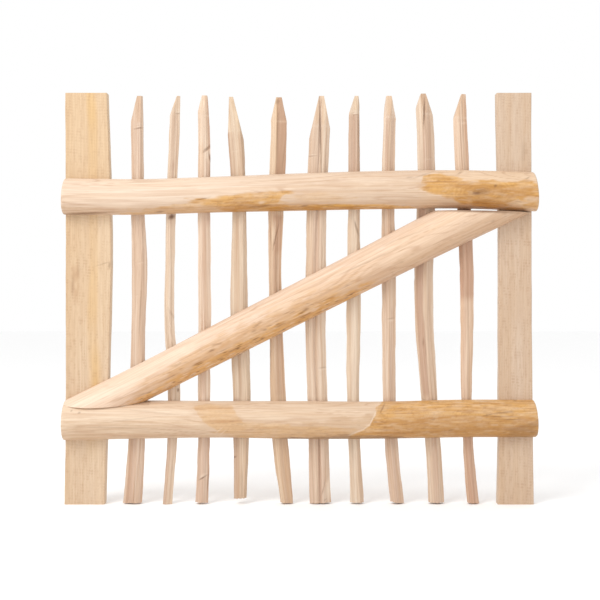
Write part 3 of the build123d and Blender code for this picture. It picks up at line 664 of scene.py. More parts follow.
def pole_paint(zones, marks, seed, torn, climbs=False):
    """Colour masks and mark depths of a pole's face, from its zones and marks. Torn is how
    strongly dark flecks of torn fibre break through the stains. Growth rings cut lengthwise
    show as lines where a slow noise, drawn out along the pole, passes whole numbers. On the
    brace, whose zones are laid out along its own line, a bump is added to it, so the lines
    arch round its middle."""
    def paint(rings, grain):
        x, z = rings[..., 0], rings[..., 2]
        s, across, depth = grain[..., 0], grain[..., 1], grain[..., 2]

        def own(lumps):
            """One of this pole's own noises."""
            return drawn(lumps, s, across, depth, seed)

        deep, dark, fresh = cut_marks(marks, x, z, seed)
        masks = {key: np.zeros(x.shape) for key in ("stain", "warm", "low", "bare", "stain_low")}
        masks["dark"], masks["bare"] = dark, fresh
        along, up = (s, across) if climbs else (x, z)
        for number, zone in enumerate(zones):
            cover = zone_cover(zone, along, up, seed + 20 + number)
            masks[zone.mask] = np.maximum(masks[zone.mask], cover)

        # the underside darkened as painted shade, where the pole turns away from the light above,
        # then mottled stains with darker runs, brown threads along the grain, paler spots and
        # dark flecks
        under = step(-2, -40, across) * (0.7 + 0.3 * step(-300, -60, x))
        masks["low"] = np.maximum(masks["low"], under * (1 - 0.5 * masks["stain"]))
        masks["stain"] = masks["stain"] * np.clip(0.9 + 0.34 * own(MOTTLE), 0, 1)
        stain = masks["stain"]
        runs = step(0.1, 0.65, own(RUNS))
        masks["stain_low"] = np.maximum(masks["stain_low"], runs) * stain
        thread_cover = np.clip(0.3 + masks["low"] + 0.4 * stain, 0, 1)
        masks["brown"] = step(0.2, 0.75, own(THREADS)) * thread_cover
        pale = step(0.2, 0.8, own(PALE_SPOTS))
        masks["bare"] = np.maximum(masks["bare"], 1.1 * torn * pale * stain)
        flecks = step(0.42, 0.85, own(FLECKS)) * np.clip(stain + 0.3 * masks["low"], 0, 1)
        masks["dark"] = np.maximum(masks["dark"], flecks * torn)

        # growth lines
        arch = np.exp(-((s - ARCH_AT[0]) / ARCH_HALF[0]) ** 2
                      - ((across - ARCH_AT[1]) / ARCH_HALF[1]) ** 2) * climbs
        rise = 3.2 * own(GROWTH) + across / RING_SPACING + ARCH_RISE * arch
        line = step(0.13 + 0.14 * arch, 0.02, np.abs(rise - np.round(rise)))
        weight = np.clip(0.6 + 0.7 * own(GROWTH_WEIGHT) + 0.6 * arch, 0, 1)
        masks["line"] = line * weight * (1 - 0.6 * stain)

        # rings round the first mark, and short curls in the stains
        curl = np.abs(noise(x / 13, across / 5, depth / 5, seed + 74)
                      + 0.5 * noise(x / 5, across / 3, depth / 3, seed + 75))
        swirl = np.maximum(knot_rings(marks[0], x, z, seed + 70), 0.9 * step(0.17, 0.02, curl))
        masks["figure"] = swirl * stain
        face = step(SEAT_Y - 0.2, SEAT_Y - 2.5, rings[..., 1])
        masks = {key: value * face for key, value in masks.items()}
        return masks, deep + 0.5 * flecks * torn
    return paint


def rail_cuts(slants, middle):
    """The two sawn ends of a rail, each leaning out at the bottom by its slant."""
    cuts = []
    for end, side, slant in zip(RAIL_ENDS, (-1, 1), slants):
        lean = radians(slant)
        normal = np.array([side * cos(lean), 0, sin(lean)])
        cuts.append([(np.array([end, 0, middle]), normal)])
    return cuts


def planed_seat(rings):
    """Lowers the bottom rail's shoulder under the brace to the sloping flat it stands on:
    height = seat height + distance behind the seat's back edge * slope."""
    x, y, z = rings[..., 0], rings[..., 1], rings[..., 2]
    flat = BRACE_SEAT_Z + (y - SEAT_Y) * tan(BRACE_SEAT_SLOPE)
    under = (x > BRACE_SEAT_ENDS[0]) & (x < BRACE_SEAT_ENDS[1])
    rings[..., 2] = np.where(under, np.minimum(z, flat), z)
    return rings


# ---------------------------------------------------------------- boards and pales
def ring_walk(corners, counts):
    """Points evenly spaced along each side of a many-cornered ring, for every station."""
    sides = []
    following = np.roll(corners, -1, axis=1)
    for index, count in enumerate(counts):
        share = (np.arange(count) / count)[None, :, None]
        sides.append(corners[:, index, None] * (1 - share) + following[:, index, None] * share)
    return np.concatenate(sides, axis=1)


def end_caps(rings, lift):
    """Rings drawn in to the middle of each end, with the end's own height lift."""
    shares = np.array(CAP_SHARES)[:, None, None]
    caps = []
    for ring in (rings[0], rings[-1]):
        middle = ring.mean(axis=0)
        cap = middle + (ring - middle) * shares
        cap[..., 2] += lift * noise(cap[..., 0] / 3, cap[..., 1] / 3, cap[..., 0] * 0, 3)
        caps.append(cap)
    return np.concatenate([caps[0], rings, caps[1][::-1]])


STILE_LENGTHS = 560
STILE_ARRIS = 1.2
STILE_COUNTS = (44, 2, 8, 2, 36, 2, 8, 2)  # points along each side and bevel of its ring
SAW_PITCH = 6.4
EDGE_WOBBLE, WANE, SIDE_WAVES = Lumps(60, 5, 0, 3), Lumps(160, 5, 3), Lumps(70, 4, 11, 3)
SAWN_FIBRES, WEAVE = Lumps(80, 2.6, 9), Lumps(14, 2.4, 14)
BROWN_BLOTCHES, PINK_BANDS = Lumps(26, 9, 32), Lumps(320, 14, 30)
SAWN_FIBRE_HEIGHT, SAWN_CAP_LIFT = 0.1, 0.25
FACE_MARGIN, BACK_SETBACK = 0.1, 0.15  # the back's ripples stay inside the solid's back
SIDE_MARGIN, SIDE_HEIGHT = 1.3, 0.35  # waves on a board's narrow sides


def sawn_stile(name, heights, edges, seed, saw_depth, wane, marks, paint):
    """A band-sawn board. Each ring is a rectangle with small bevels between the board's two
    edges at that height, and both faces carry the saw's ripples: a wave up the board that
    wanders with noise, and fine upright fibres."""
    z = np.linspace(0, LEAF_TOP, STILE_LENGTHS)
    left, right = (smooth_line(heights, edge, z) for edge in edges)
    wobble = 0.5 * drawn_along(EDGE_WOBBLE, z, seed)
    left, right = left + wobble, right + 0.6 * np.roll(wobble, 90)
    front, back = np.full(z.shape, SEAT_Y), np.full(z.shape, STILE_BACK)
    bevel_right = STILE_ARRIS + wane * step(0.1, 0.7, drawn_along(WANE, z, seed))
    corners = np.stack([
        np.stack([left + STILE_ARRIS, front], -1), np.stack([right - bevel_right, front], -1),
        np.stack([right, front + bevel_right], -1), np.stack([right, back - STILE_ARRIS], -1),
        np.stack([right - STILE_ARRIS, back], -1), np.stack([left + STILE_ARRIS, back], -1),
        np.stack([left, back - STILE_ARRIS], -1), np.stack([left, front + STILE_ARRIS], -1),
    ], axis=1)
    flat = ring_walk(corners, STILE_COUNTS)
    x, y = flat[..., 0], flat[..., 1]
    height = z[:, None] * np.ones_like(x)
    grain = np.stack([height, x, y], -1)

    wander = noise(x / 40, height / 90, x * 0, seed + 7)
    saw = np.sin(2 * pi * (height + 0.1 * x) / SAW_PITCH + 1.5 * wander)
    saw = saw * (0.6 + 0.4 * noise(x / 30, height / 20, x * 0, seed + 8))
    out = saw_depth * saw + SAWN_FIBRE_HEIGHT * drawn(SAWN_FIBRES, height, x, x * 0, seed)
    middle = (SEAT_Y + STILE_BACK) / 2
    on_front, on_back = y < SEAT_Y + FACE_MARGIN, y > STILE_BACK - FACE_MARGIN
    y = y + np.where(on_front, -out, 0) + np.where(on_back, out - BACK_SETBACK, 0)
    side = np.where(np.abs(y - middle) < STILE_BACK - middle - SIDE_MARGIN, SIDE_HEIGHT, 0)
    x = x + side * drawn(SIDE_WAVES, height, y, y * 0, seed)

    deep, dark, fresh = (value * ~on_back for value in cut_marks(marks, x, height, seed))
    y = y + np.where(on_front, deep, 0)
    for screw_x, screw_z in STILE_SCREWS:
        far = np.hypot(x - screw_x, height - screw_z)
        sunk = SCREW_DIMPLE_DEPTH * step(SCREW_DIMPLE_R + SCREW_DIMPLE_RIM, SCREW_DIMPLE_R, far)
        sunk = sunk + SCREW_HOLE_DEPTH * step(SCREW_HOLE_EDGE, SCREW_HOLE_R, far)
        y = y - np.where(on_back, sunk, 0)
    rings = end_caps(np.stack([x, y, height], -1), SAWN_CAP_LIFT)
    masks = {key: with_caps(value) for key, value in paint(x, height, seed).items()}
    masks["dark"] = with_caps(dark)
    masks["bare"] = np.maximum(masks["bare"], with_caps(np.maximum(fresh, np.sign(side))))
    weave = (0.5 + 0.5 * saw) * step(0, 0.7, drawn(WEAVE, height, x, y, seed))
    masks["line"] = with_caps(weave)
    masks["sawn"] = np.zeros(rings.shape[:2])
    grown = len(CAP_SHARES)
    masks["sawn"][:grown], masks["sawn"][-grown:] = 1, 1
    grain = np.concatenate([rings[:grown][..., [2, 0, 1]], grain, rings[-grown:][..., [2, 0, 1]]])
    return closed_tube(name, rings, masks, grain)


PALE_LENGTHS = 620
# Points along the sides of a pale's ring: its ridge, or its groove's five lines, then the rest
RIDGE_COUNTS, GROOVE_COUNTS, BODY_COUNTS = [6], [6, 5, 5, 6], [14, 9, 12, 9, 14]
UNCUT = 99  # a limit outside every pale
WOBBLE_HEIGHT, DRIFT_SHARE = 0.55, 0.05
PLATE_MIDDLE, RIVEN_FIBRE_HEIGHT, CHOP_HEIGHT, CREASE_RELIEF = 0.7, 0.28, 0.3, 0.35
FOOT_SMOOTH, TIP_SMOOTH = 6, 5  # its roughness fades out over these heights
FRONT_SHARE = 0.62  # of its thickness, up to which its front reaches back
FRONT_SLACK, BACK_SLACK = 1.2, 0.2  # no face goes further out than this
RAGGED_RISE, RAGGED_SHARE = 45, 1.6  # torn fibre at its foot
CLEFT_CAP_LIFT, LIP_HALF = 0.3, 2.2
LEFT_WOBBLE, RIGHT_WOBBLE, RIDGE_DRIFT = Lumps(36, 5, 1, 3), Lumps(36, 5, 2, 3), Lumps(150, 5, 3)
PLATES, RIVEN_FIBRES, CHOPS = Lumps(230, 7.5, 4), Lumps(90, 2.4, 5), Lumps(9, 14, 6)
CREASES, BANDS = Lumps(260, 5.2, 8), Lumps(300, 9, 12)


def hewn_limit(edge_at_shoulder, tip, shoulder, top, z):
    """A hewn face's line: it leaves the pale's edge at its shoulder and meets the tip at the
    top. Below the shoulder it stays outside the pale."""
    return edge_at_shoulder + (tip - edge_at_shoulder) * (z - shoulder) / (top - shoulder)


def pale_section(pale, number, seed, z):
    """A pale's rings before it is pointed: a blunt front ridge, two side arrises set back and
    a flat back, about a middle and between edges that wander with the grain."""
    places = np.linspace(*PALE_STATIONS, len(pale.centres))
    centre, width = (smooth_line(places, line, z) for line in (pale.centres, pale.widths))
    left = centre - width / 2 + WOBBLE_HEIGHT * drawn_along(LEFT_WOBBLE, z, seed)
    right = centre + width / 2 + WOBBLE_HEIGHT * drawn_along(RIGHT_WOBBLE, z, seed)
    ridge = centre + (pale.ridge + DRIFT_SHARE * drawn_along(RIDGE_DRIFT, z, seed)) * width
    side_y = SEAT_Y + PALE_SIDE_SETBACK * pale.thick + z * 0
    back_y = SEAT_Y + pale.thick + z * 0
    front_y = SEAT_Y + z * 0
    half_back = PALE_BACK_HALF * width
    front = [(ridge - PALE_RIDGE_HALF, front_y), (ridge + PALE_RIDGE_HALF, front_y)]
    counts = RIDGE_COUNTS
    if number == WIDEST_PALE:  # its front has a riven groove
        far = CREASE_HALF + 2 * PALE_RIDGE_HALF
        front = [(ridge - far, front_y), (ridge - CREASE_HALF, front_y),
                 (ridge, front_y + CREASE_DEPTH), (ridge + CREASE_HALF, front_y),
                 (ridge + far, front_y)]
        counts = GROOVE_COUNTS
    corners = front + [(right, side_y), (centre + half_back, back_y),
                       (centre - half_back, back_y), (left, side_y)]
    corners = np.stack([np.stack(corner, -1) for corner in corners], 1)
    flat = ring_walk(corners, counts + BODY_COUNTS)
    return flat[..., 0], flat[..., 1], centre[:, None], width[:, None]


def hewn_point(pale, x, y, height):
    """Clips x and y between the four straight hewn faces of a pale's point, and tells how
    far each place is hewn."""
    top = pale.tip[0]
    places = np.linspace(*PALE_STATIONS, len(pale.centres))
    left_z, right_z, front_z = pale.shoulders
    back_z = front_z + PALE_BACK_SHOULDER_RISE
    middles, halves = np.array(pale.centres), np.array(pale.widths) / 2
    hewn_left, hewn_right = (
        hewn_limit(np.interp(at, places, edge), tip, at, top, height)
        for edge, tip, at in ((middles - halves, pale.tip[1], left_z),
                              (middles + halves, pale.tip[2], right_z)))
    tip_front = SEAT_Y + PALE_TIP_FRONT * pale.thick
    tip_back = SEAT_Y + PALE_TIP_BACK * pale.thick
    hewn_front = hewn_limit(SEAT_Y, tip_front, front_z, top, height)
    hewn_back = hewn_limit(SEAT_Y + pale.thick, tip_back, back_z, top, height)
    clipped_x = np.clip(x, hewn_left, hewn_right)
    clipped_y = np.clip(y, np.where(height > front_z, hewn_front, -UNCUT),
                        np.where(height > back_z, hewn_back, UNCUT))
    hewn = step(0.02, 0.5, np.abs(clipped_x - x) + np.abs(clipped_y - y))
    return clipped_x, clipped_y, hewn


def cleft_pale(name, pale, number, marks, facets, tear):
    """A pale riven along its grain and pointed. Riven faces stand in plates: a noise drawn
    out along the grain, stepped so that each plate has a sharp edge, over finer fibres;
    hewn faces carry short cross ripples instead."""
    seed = 100 + 17 * number
    base, slope = pale.foot
    top, back = pale.tip[0], SEAT_Y + pale.thick
    z = np.linspace(base, top, PALE_LENGTHS)
    x, y, centre, width = pale_section(pale, number, seed, z)
    height = z[:, None] * np.ones_like(x)
    local = x - centre
    x, y, hewn = hewn_point(pale, x, y, height)

    def own(lumps):
        """One of this pale's own noises, where its points lie by now."""
        return drawn(lumps, height, local, y, seed)

    plates = own(PLATES)
    plates = 0.9 * step(-0.02, 0.1, plates) + 0.5 * step(0.32, 0.42, plates)
    riven = tear * (plates - PLATE_MIDDLE) + RIVEN_FIBRE_HEIGHT * own(RIVEN_FIBRES)
    out = riven * (1 - hewn) + CHOP_HEIGHT * own(CHOPS) * hewn
    depth = y - (SEAT_Y + 0.5 * pale.thick)
    far = np.hypot(local, depth) + 1e-6
    fade = step(0, FOOT_SMOOTH, height - base) * step(0, TIP_SMOOTH, top - height)
    on_front = y < SEAT_Y + FRONT_SHARE * pale.thick
    x = x + out * local / far * 0.5 * fade
    y = y + out * depth / far * np.where(y > back - 1, 0.3, 1) * fade
    deep, dark, fresh = (value * on_front for value in cut_marks(marks, x, height, seed))
    y = y + deep
    creases = step(0.5, 0.85, np.abs(own(CREASES)))
    y = y + np.where(on_front, CREASE_RELIEF * creases * fade, 0) * (1 - hewn)
    y = np.clip(y, SEAT_Y - FRONT_SLACK, back + BACK_SLACK)

    foot_fade = 1 - step(0, RAGGED_RISE, height - base)
    ragged = RAGGED_SHARE * tear * np.abs(noise(local / 4, y / 5, local * 0, seed + 10))
    height = height + (np.tan(radians(slope)) * local + ragged) * foot_fade
    rings = end_caps(np.stack([x, y, height], -1), CLEFT_CAP_LIFT)
    share = 0.5 + local / width
    # The facet tone carries painted light and shade as well as the wood's own colour: its lighter
    # part goes into bare, its darker part into brown.
    tone = facet_tone(facets, share, height, seed + 14) * on_front + 0.22 * own(BANDS)
    lip = np.exp(-(((height - pale.shoulders[2]) / LIP_HALF) ** 2)) * on_front
    # the creases, pushed back as grooves, are darkened a little: painted shade in them
    masks = {"dark": with_caps(np.maximum(dark, 0.14 * creases * (1 - hewn))),
             "warm": with_caps(0.5 * hewn * on_front),
             "bare": with_caps(np.maximum(np.maximum(fresh, tone), 0.5 * lip)),
             "brown": with_caps(-tone), "sawn": np.zeros(rings.shape[:2])}
    masks["sawn"][:len(CAP_SHARES)] = 1
    return closed_tube(name, rings, masks, with_caps(np.stack([height, local, y], -1)))


# ---------------------------------------------------------------- materials
def srgb(red, green, blue):
    """A screen colour of 0 to 255 as the linear colour that shaders take."""
    shares = np.array([red, green, blue]) / 255
    bent = np.where(shares <= 0.04045, shares / 12.92, ((shares + 0.055) / 1.055) ** 2.4)
    return (*bent.tolist(), 1.0)


def feed(tree, node, values):
    """Gives a node's inputs, by name or number, plain values or links to other outputs."""
    for name, value in values.items():
        if isinstance(value, bpy.types.NodeSocket):
            tree.links.new(value, node.inputs[name])
        else:
            node.inputs[name].default_value = value


def add_node(tree, kind, values, **settings):
    """The outputs of a new node with these settings and inputs."""
    node = tree.nodes.new(kind)
    for name, value in settings.items():
        setattr(node, name, value)
    feed(tree, node, values)
    return node.outputs


def reckoned(tree, operation, *values):
    """What a math node makes of its values."""
    return add_node(tree, "ShaderNodeMath", dict(enumerate(values)), operation=operation)[0]


def remapped(tree, value, given=(0, 1), wanted=(0, 1)):
    """A value carried from a given range to a wanted one."""
    ends = dict(zip(("From Min", "From Max", "To Min", "To Max"), (*given, *wanted)))
    return add_node(tree, "ShaderNodeMapRange", {"Value": value, **ends})["Result"]


GRAIN = "chestnut_grain"
GRAIN_INPUTS = {"Fibre Width": 0.0016, "Stretch": 45.0, "Seed": 0.0}
# The grain's noises: how many fibres wide and what part of the stretch long their lumps are,
# detail, roughness, and the noise values that become 0 and 1
GRAIN_NOISES = {
    "Fibres": (1.0, 1.0, 3, 0.6, 0.42, 0.6),
    "Streaks": (3.4, 0.9, 4, 0.6, 0.42, 0.6),
    "Blotches": (16.0, 0.14, 3, 0.5, 0.35, 0.65),
    "Flecks": (1.6, 0.14, 2, 0.5, 0.62, 0.74),
}
FIBRE_HEIGHT = 0.7  # of the fibres over the streaks


def grain_group():
    """The grain shared by all timbers. Each output is a noise drawn out along the piece's
    grain coordinates: fine fibres, broad streaks, soft blotches, short ray flecks, and a
    height that adds fibres and streaks up."""
    group = bpy.data.node_groups.new(GRAIN, "ShaderNodeTree")
    panel = group.interface
    panel.new_socket("Grain", in_out="INPUT", socket_type="NodeSocketVector")
    for label, value in GRAIN_INPUTS.items():
        socket = panel.new_socket(label, in_out="INPUT", socket_type="NodeSocketFloat")
        socket.default_value = value
    for label in (*GRAIN_NOISES, "Height"):
        panel.new_socket(label, in_out="OUTPUT", socket_type="NodeSocketFloat")
    given = group.nodes.new("NodeGroupInput").outputs
    shifted = add_node(group, "ShaderNodeVectorMath", {0: given["Grain"], 1: given["Seed"]},
                       operation="ADD")[0]

    def drawn_noise(width, length, detail, roughness, low, high):
        """Noise whose lumps are width fibres wide and length stretches long."""
        across = reckoned(group, "DIVIDE", 1 / width, given["Fibre Width"])
        slower = reckoned(group, "MULTIPLY", given["Stretch"], length)
        along = reckoned(group, "DIVIDE", across, slower)
        scale = add_node(group, "ShaderNodeCombineXYZ", {"X": along, "Y": across, "Z": across})
        drawn = add_node(group, "ShaderNodeVectorMath", {0: shifted, 1: scale[0]},
                         operation="MULTIPLY")
        texture = add_node(group, "ShaderNodeTexNoise", {
            "Vector": drawn[0], "Scale": 1.0, "Detail": detail, "Roughness": roughness})
        return remapped(group, texture["Fac"], (low, high))

    results = {label: drawn_noise(*numbers) for label, numbers in GRAIN_NOISES.items()}
    results["Height"] = reckoned(group, "MULTIPLY_ADD", results["Fibres"], FIBRE_HEIGHT,
                                 results["Streaks"])
    feed(group, group.nodes.new("NodeGroupOutput"), results)
    return group


# Sockets of a mix node for colours: amount, colour below, colour above, result
MIX_AMOUNT, MIX_BELOW, MIX_ABOVE, MIX_RESULT = 0, 6, 7, 2


class Mixer:
    """Builds one material: every call lays another colour over the last one."""

    def __init__(self, name, ground):
        self.material = bpy.data.materials.new(name)
        self.material.use_nodes = True
        self.tree = self.material.node_tree
        self.colour = ground

    def read(self, name, output="Fac"):
        """An attribute of the piece: a mask, or its grain coordinates as a vector."""
        return add_node(self.tree, "ShaderNodeAttribute", {}, attribute_name=name)[output]

    def lay(self, colour, amount, *factors):
        """Lays a colour over what is there, by an amount times any factors."""
        for factor in factors:
            amount = reckoned(self.tree, "MULTIPLY", amount, factor)
        values = {MIX_BELOW: self.colour, MIX_ABOVE: colour, MIX_AMOUNT: amount}
        mix = add_node(self.tree, "ShaderNodeMix", values, data_type="RGBA")
        self.colour = mix[MIX_RESULT]

    def finish(self, values):
        """The material, once its shader has the mixed colour and these other values."""
        shader = self.tree.nodes["Principled BSDF"]
        feed(self.tree, shader, {"Base Color": self.colour, **values})
        return self.material


def timber(name, looks, colours):
    """Chestnut timber: pale ground, streaks and fibres from the shared grain, then the
    piece's own masks of stain, bare wood, torn dark flecks and sawn ends. Some of these masks
    also lay painted shade and painted highlights."""
    mixer = Mixer(name, colours["light"])
    grain = add_node(
        mixer.tree, "ShaderNodeGroup",
        {"Grain": mixer.read("grain", "Vector"), "Fibre Width": looks["fibre_width"],
         "Stretch": looks["stretch"], "Seed": looks["seed"]},
        node_tree=bpy.data.node_groups.get(GRAIN) or grain_group())
    for colour, *amounts in (
        ("deep", grain["Streaks"], looks["streak"]),
        ("warm", grain["Blotches"], looks["blotch"]),
        ("warm", mixer.read("warm")),
        ("brown", mixer.read("brown"), looks["brown"]),
        ("low", mixer.read("low"), looks["low"]),
        ("stain", mixer.read("stain"), looks["stain"]),
        ("stain_deep", mixer.read("stain"), grain["Streaks"], looks["stain_streak"]),
        ("stain_deep", mixer.read("stain_low"), 0.6),
        ("stain_deep", mixer.read("figure"), 0.4),
        ("dark", mixer.read("line"), looks["line"]),
        ("cream", mixer.read("bare"), looks["bare"]),
        ("dark", grain["Fibres"], looks["fibre"]),
        ("dark", grain["Flecks"], looks["fleck"]),
        ("knot", mixer.read("dark"), looks["knot"]),
        ("deep", mixer.read("sawn"), 0.35),
    ):
        mixer.lay(colours[colour], *amounts)
    roughness = remapped(mixer.tree, grain["Fibres"],
                         wanted=(looks["rough"] - 0.08, looks["rough"] + 0.1))
    bump = add_node(mixer.tree, "ShaderNodeBump", {
        "Strength": looks["bump"], "Distance": 0.0006, "Height": grain["Height"]})
    return mixer.finish({"Roughness": roughness, "Specular IOR Level": 0.28,
                         "Normal": bump["Normal"]})


# The looks of each kind of timber, by the name of its slot
TIMBERS = {
    "chestnut_peeled": dict(
        fibre_width=0.0022, stretch=50, streak=0.4, blotch=0.2, stain=0.98, stain_streak=0.3,
        bare=0.7, fibre=0.24, fleck=0.14, low=0.5, brown=0.45, line=0.42, knot=0.85, rough=0.5,
        bump=0.25),
    "chestnut_sawn": dict(
        fibre_width=0.0024, stretch=40, streak=0.16, blotch=0.25, stain=0.9, stain_streak=0.0,
        bare=0.6, fibre=0.16, fleck=0.1, low=0.4, brown=0.5, line=0.4, knot=0.7, rough=0.66,
        bump=0.3),
    "chestnut_cleft": dict(
        fibre_width=0.0022, stretch=60, streak=0.6, blotch=0.25, stain=0.5, stain_streak=0.1,
        bare=0.65, fibre=0.26, fleck=0.1, low=0.3, brown=0.75, line=0.3, knot=0.85, rough=0.62,
        bump=0.55),
}
# Each piece of timber differs a little: its red, green and blue as parts of the shared colours
TINTS = {
    "rail_top": (0.92, 0.98, 1.08), "rail_bottom": (0.9, 0.95, 1.01), "brace": (0.95, 0.98, 1.07),
    "stile_hinge": (0.79, 0.8, 0.8), "stile_latch": (0.74, 0.75, 0.79),
    "pale_01": (0.8, 0.82, 0.9), "pale_02": (0.88, 0.95, 1.06), "pale_03": (0.9, 0.95, 1.06),
    "pale_04": (0.81, 0.86, 0.92), "pale_05": (0.83, 0.84, 0.86), "pale_06": (0.87, 0.93, 1.03),
    "pale_07": (0.86, 0.94, 1.05), "pale_08": (0.85, 0.89, 0.98), "pale_09": (0.82, 0.86, 0.94),
    "pale_10": (0.87, 0.88, 0.94),
}


def tinted_colours(colours, tint):
    """The user's colours as a plain table for one piece's material, each channel multiplied
    by the piece's own tint."""
    table = {}
    for key in ("light", "deep", "warm", "brown", "stain", "stain_deep", "straw", "cream",
                "dark", "low", "knot"):
        *channels, alpha = getattr(colours, key)
        table[key] = (*(min(value * part, 1) for value, part in zip(channels, tint)), alpha)
    return table


def dress(piece, node, slot, material, seed, stain="stain", **changes):
    """Puts a finished piece on the frame in place of its CAD node, in timber of its own with
    these changes to its kind's looks. Stain names the colour that its stain mask shows."""
    colours = tinted_colours(bpy.context.scene.gate_colours, TINTS[node])
    colours["stain"] = colours[stain]
    looks = dict(TIMBERS[slot], seed=seed, **changes)
    piece.data.materials.append(timber(material, looks, colours))
    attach(piece, "root")
    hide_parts(node)


def galvanised(colour):
    """Zinc-coated steel: crystals of slightly different greys with soft scratches."""
    mixer = Mixer("galvanised_steel", tuple(colour))
    place = add_node(mixer.tree, "ShaderNodeTexCoord", {})["Object"]
    crystals = add_node(mixer.tree, "ShaderNodeTexVoronoi", {"Vector": place, "Scale": 900})
    wear = add_node(mixer.tree, "ShaderNodeTexNoise", {"Vector": place, "Scale": 2500})["Fac"]
    mixer.lay(srgb(120, 122, 126), crystals["Distance"], 0.5)
    mixer.lay(srgb(205, 206, 208), wear, 0.4)
    roughness = remapped(mixer.tree, wear, wanted=(0.3, 0.5))
    return mixer.finish({"Metallic": 0.9, "Roughness": roughness})


# ---------------------------------------------------------------- settings
def colour_property(name, description, screen):
    """A colour setting with its default given as a screen colour."""
    return FloatVectorProperty(name=name, description=description, default=srgb(*screen),
                               size=4, min=0, max=1, subtype="COLOR")


class GateSizes(bpy.types.PropertyGroup):
    """How deep the tools' traces go."""

    saw_depth: FloatProperty(
        name="Saw Ripple", description="Half the height of the band saw's ripples",
        default=0.26 * MM, min=0, max=1 * MM, unit="LENGTH")
    tear_depth: FloatProperty(
        name="Torn Fibre", description="Height of the plates that riving leaves on a pale",
        default=0.8 * MM, min=0, max=2 * MM, unit="LENGTH")
    shave_depth: FloatProperty(
        name="Shaved Flats", description="Depth of the drawknife's long flats on the poles",
        default=0.8 * MM, min=0, max=2 * MM, unit="LENGTH")
    pole_rounding: FloatProperty(
        name="Rail End Rounding", description="Radius of the eased arris at the rails' ends",
        default=4 * MM, min=0.5 * MM, max=8 * MM, unit="LENGTH")


class GateColours(bpy.types.PropertyGroup):
    """Colours of the peeled, sawn and cleft timber."""

    light: colour_property("Light Wood", "Ground colour of fresh timber", (232, 205, 176))
    deep: colour_property("Streaks", "Darker streaks along the grain", (214, 176, 140))
    warm: colour_property("Blotches", "Soft warm blotches", (226, 190, 150))
    # On the pales the brown colour also lays painted shade: darker right-hand planes at the tips
    # and planes below the brace.
    brown: colour_property("Brown and Shaded Facets", "Browner planes of the cleft pales", (192, 150, 122))
    stain: colour_property("Cambium", "Golden cambium left on the poles", (220, 160, 70))
    straw: colour_property("Straw Band", "Yellow sapwood in the hinge stile", (230, 186, 122))
    stain_deep: colour_property("Deep Cambium", "Dark streaks in the cambium", (164, 104, 40))
    # The cream colour also lays painted highlights: the lighter left-hand planes at the pale tips
    # and the brace's upper side.
    cream: colour_property("Bare Cuts and Highlights", "Fresh cut faces", (240, 214, 184))
    dark: colour_property("Fibres", "Fine dark fibres and ray flecks", (176, 130, 94))
    # Its colour is laid as painted shade on the poles' undersides and lower edges, and as darker
    # tone of the wood elsewhere.
    low: colour_property("Shade and Darker Tone", "Darker lower side of a pole", (188, 146, 104))
    # The knot colour also lays the painted shade lines in the gaps under the top rail and part of
    # the darkness in sunk nicks and splits.
    knot: colour_property("Knots and Gap Shade", "Knots, splits and nicks", (110, 72, 46))
    steel: colour_property("Steel", "Galvanised steel", (168, 170, 174))


# ---------------------------------------------------------------- operators
class GateOperator(bpy.types.Operator):
    """Base of the gate's operators: each makes its pieces at once."""

    bl_options = {"REGISTER", "UNDO"}


class GATE_OT_top_rail(GateOperator):
    """Makes the half-round top rail"""

    bl_idname = "gate.top_rail"
    bl_label = "Top Rail"

    def execute(self, context):
        sizes = context.scene.gate_sizes
        piece = sawn_pole(
            "top_rail_pole", rail_pole(RAIL_TOP_LOW, RAIL_TOP_HIGH),
            rail_cuts(RAIL_TOP_SLANTS, RAIL_TOP_MIDDLE),
            shaved_relief(11, sizes.shave_depth / MM, ripple=0.25, fibre=0.1),
            sizes.pole_rounding / MM, pole_paint(RAIL_TOP_ZONES, RAIL_TOP_MARKS, 11, torn=0.3))
        dress(piece, "rail_top", "chestnut_peeled", "peeled_top_rail", seed=0.11)
        return {"FINISHED"}


class GATE_OT_bottom_rail(GateOperator):
    """Makes the half-round bottom rail with its planed seat for the brace"""

    bl_idname = "gate.bottom_rail"
    bl_label = "Bottom Rail"

    def execute(self, context):
        sizes = context.scene.gate_sizes
        piece = sawn_pole(
            "bottom_rail_pole", rail_pole(RAIL_BOTTOM_LOW, RAIL_BOTTOM_HIGH),
            rail_cuts(RAIL_BOTTOM_SLANTS, RAIL_BOTTOM_MIDDLE),
            shaved_relief(23, sizes.shave_depth / MM, ripple=0.25, fibre=0.1),
            sizes.pole_rounding / MM,
            pole_paint(RAIL_BOTTOM_ZONES, RAIL_BOTTOM_MARKS, 23, torn=0.4), planed_seat)
        dress(piece, "rail_bottom", "chestnut_peeled", "peeled_bottom_rail", seed=0.53)
        return {"FINISHED"}


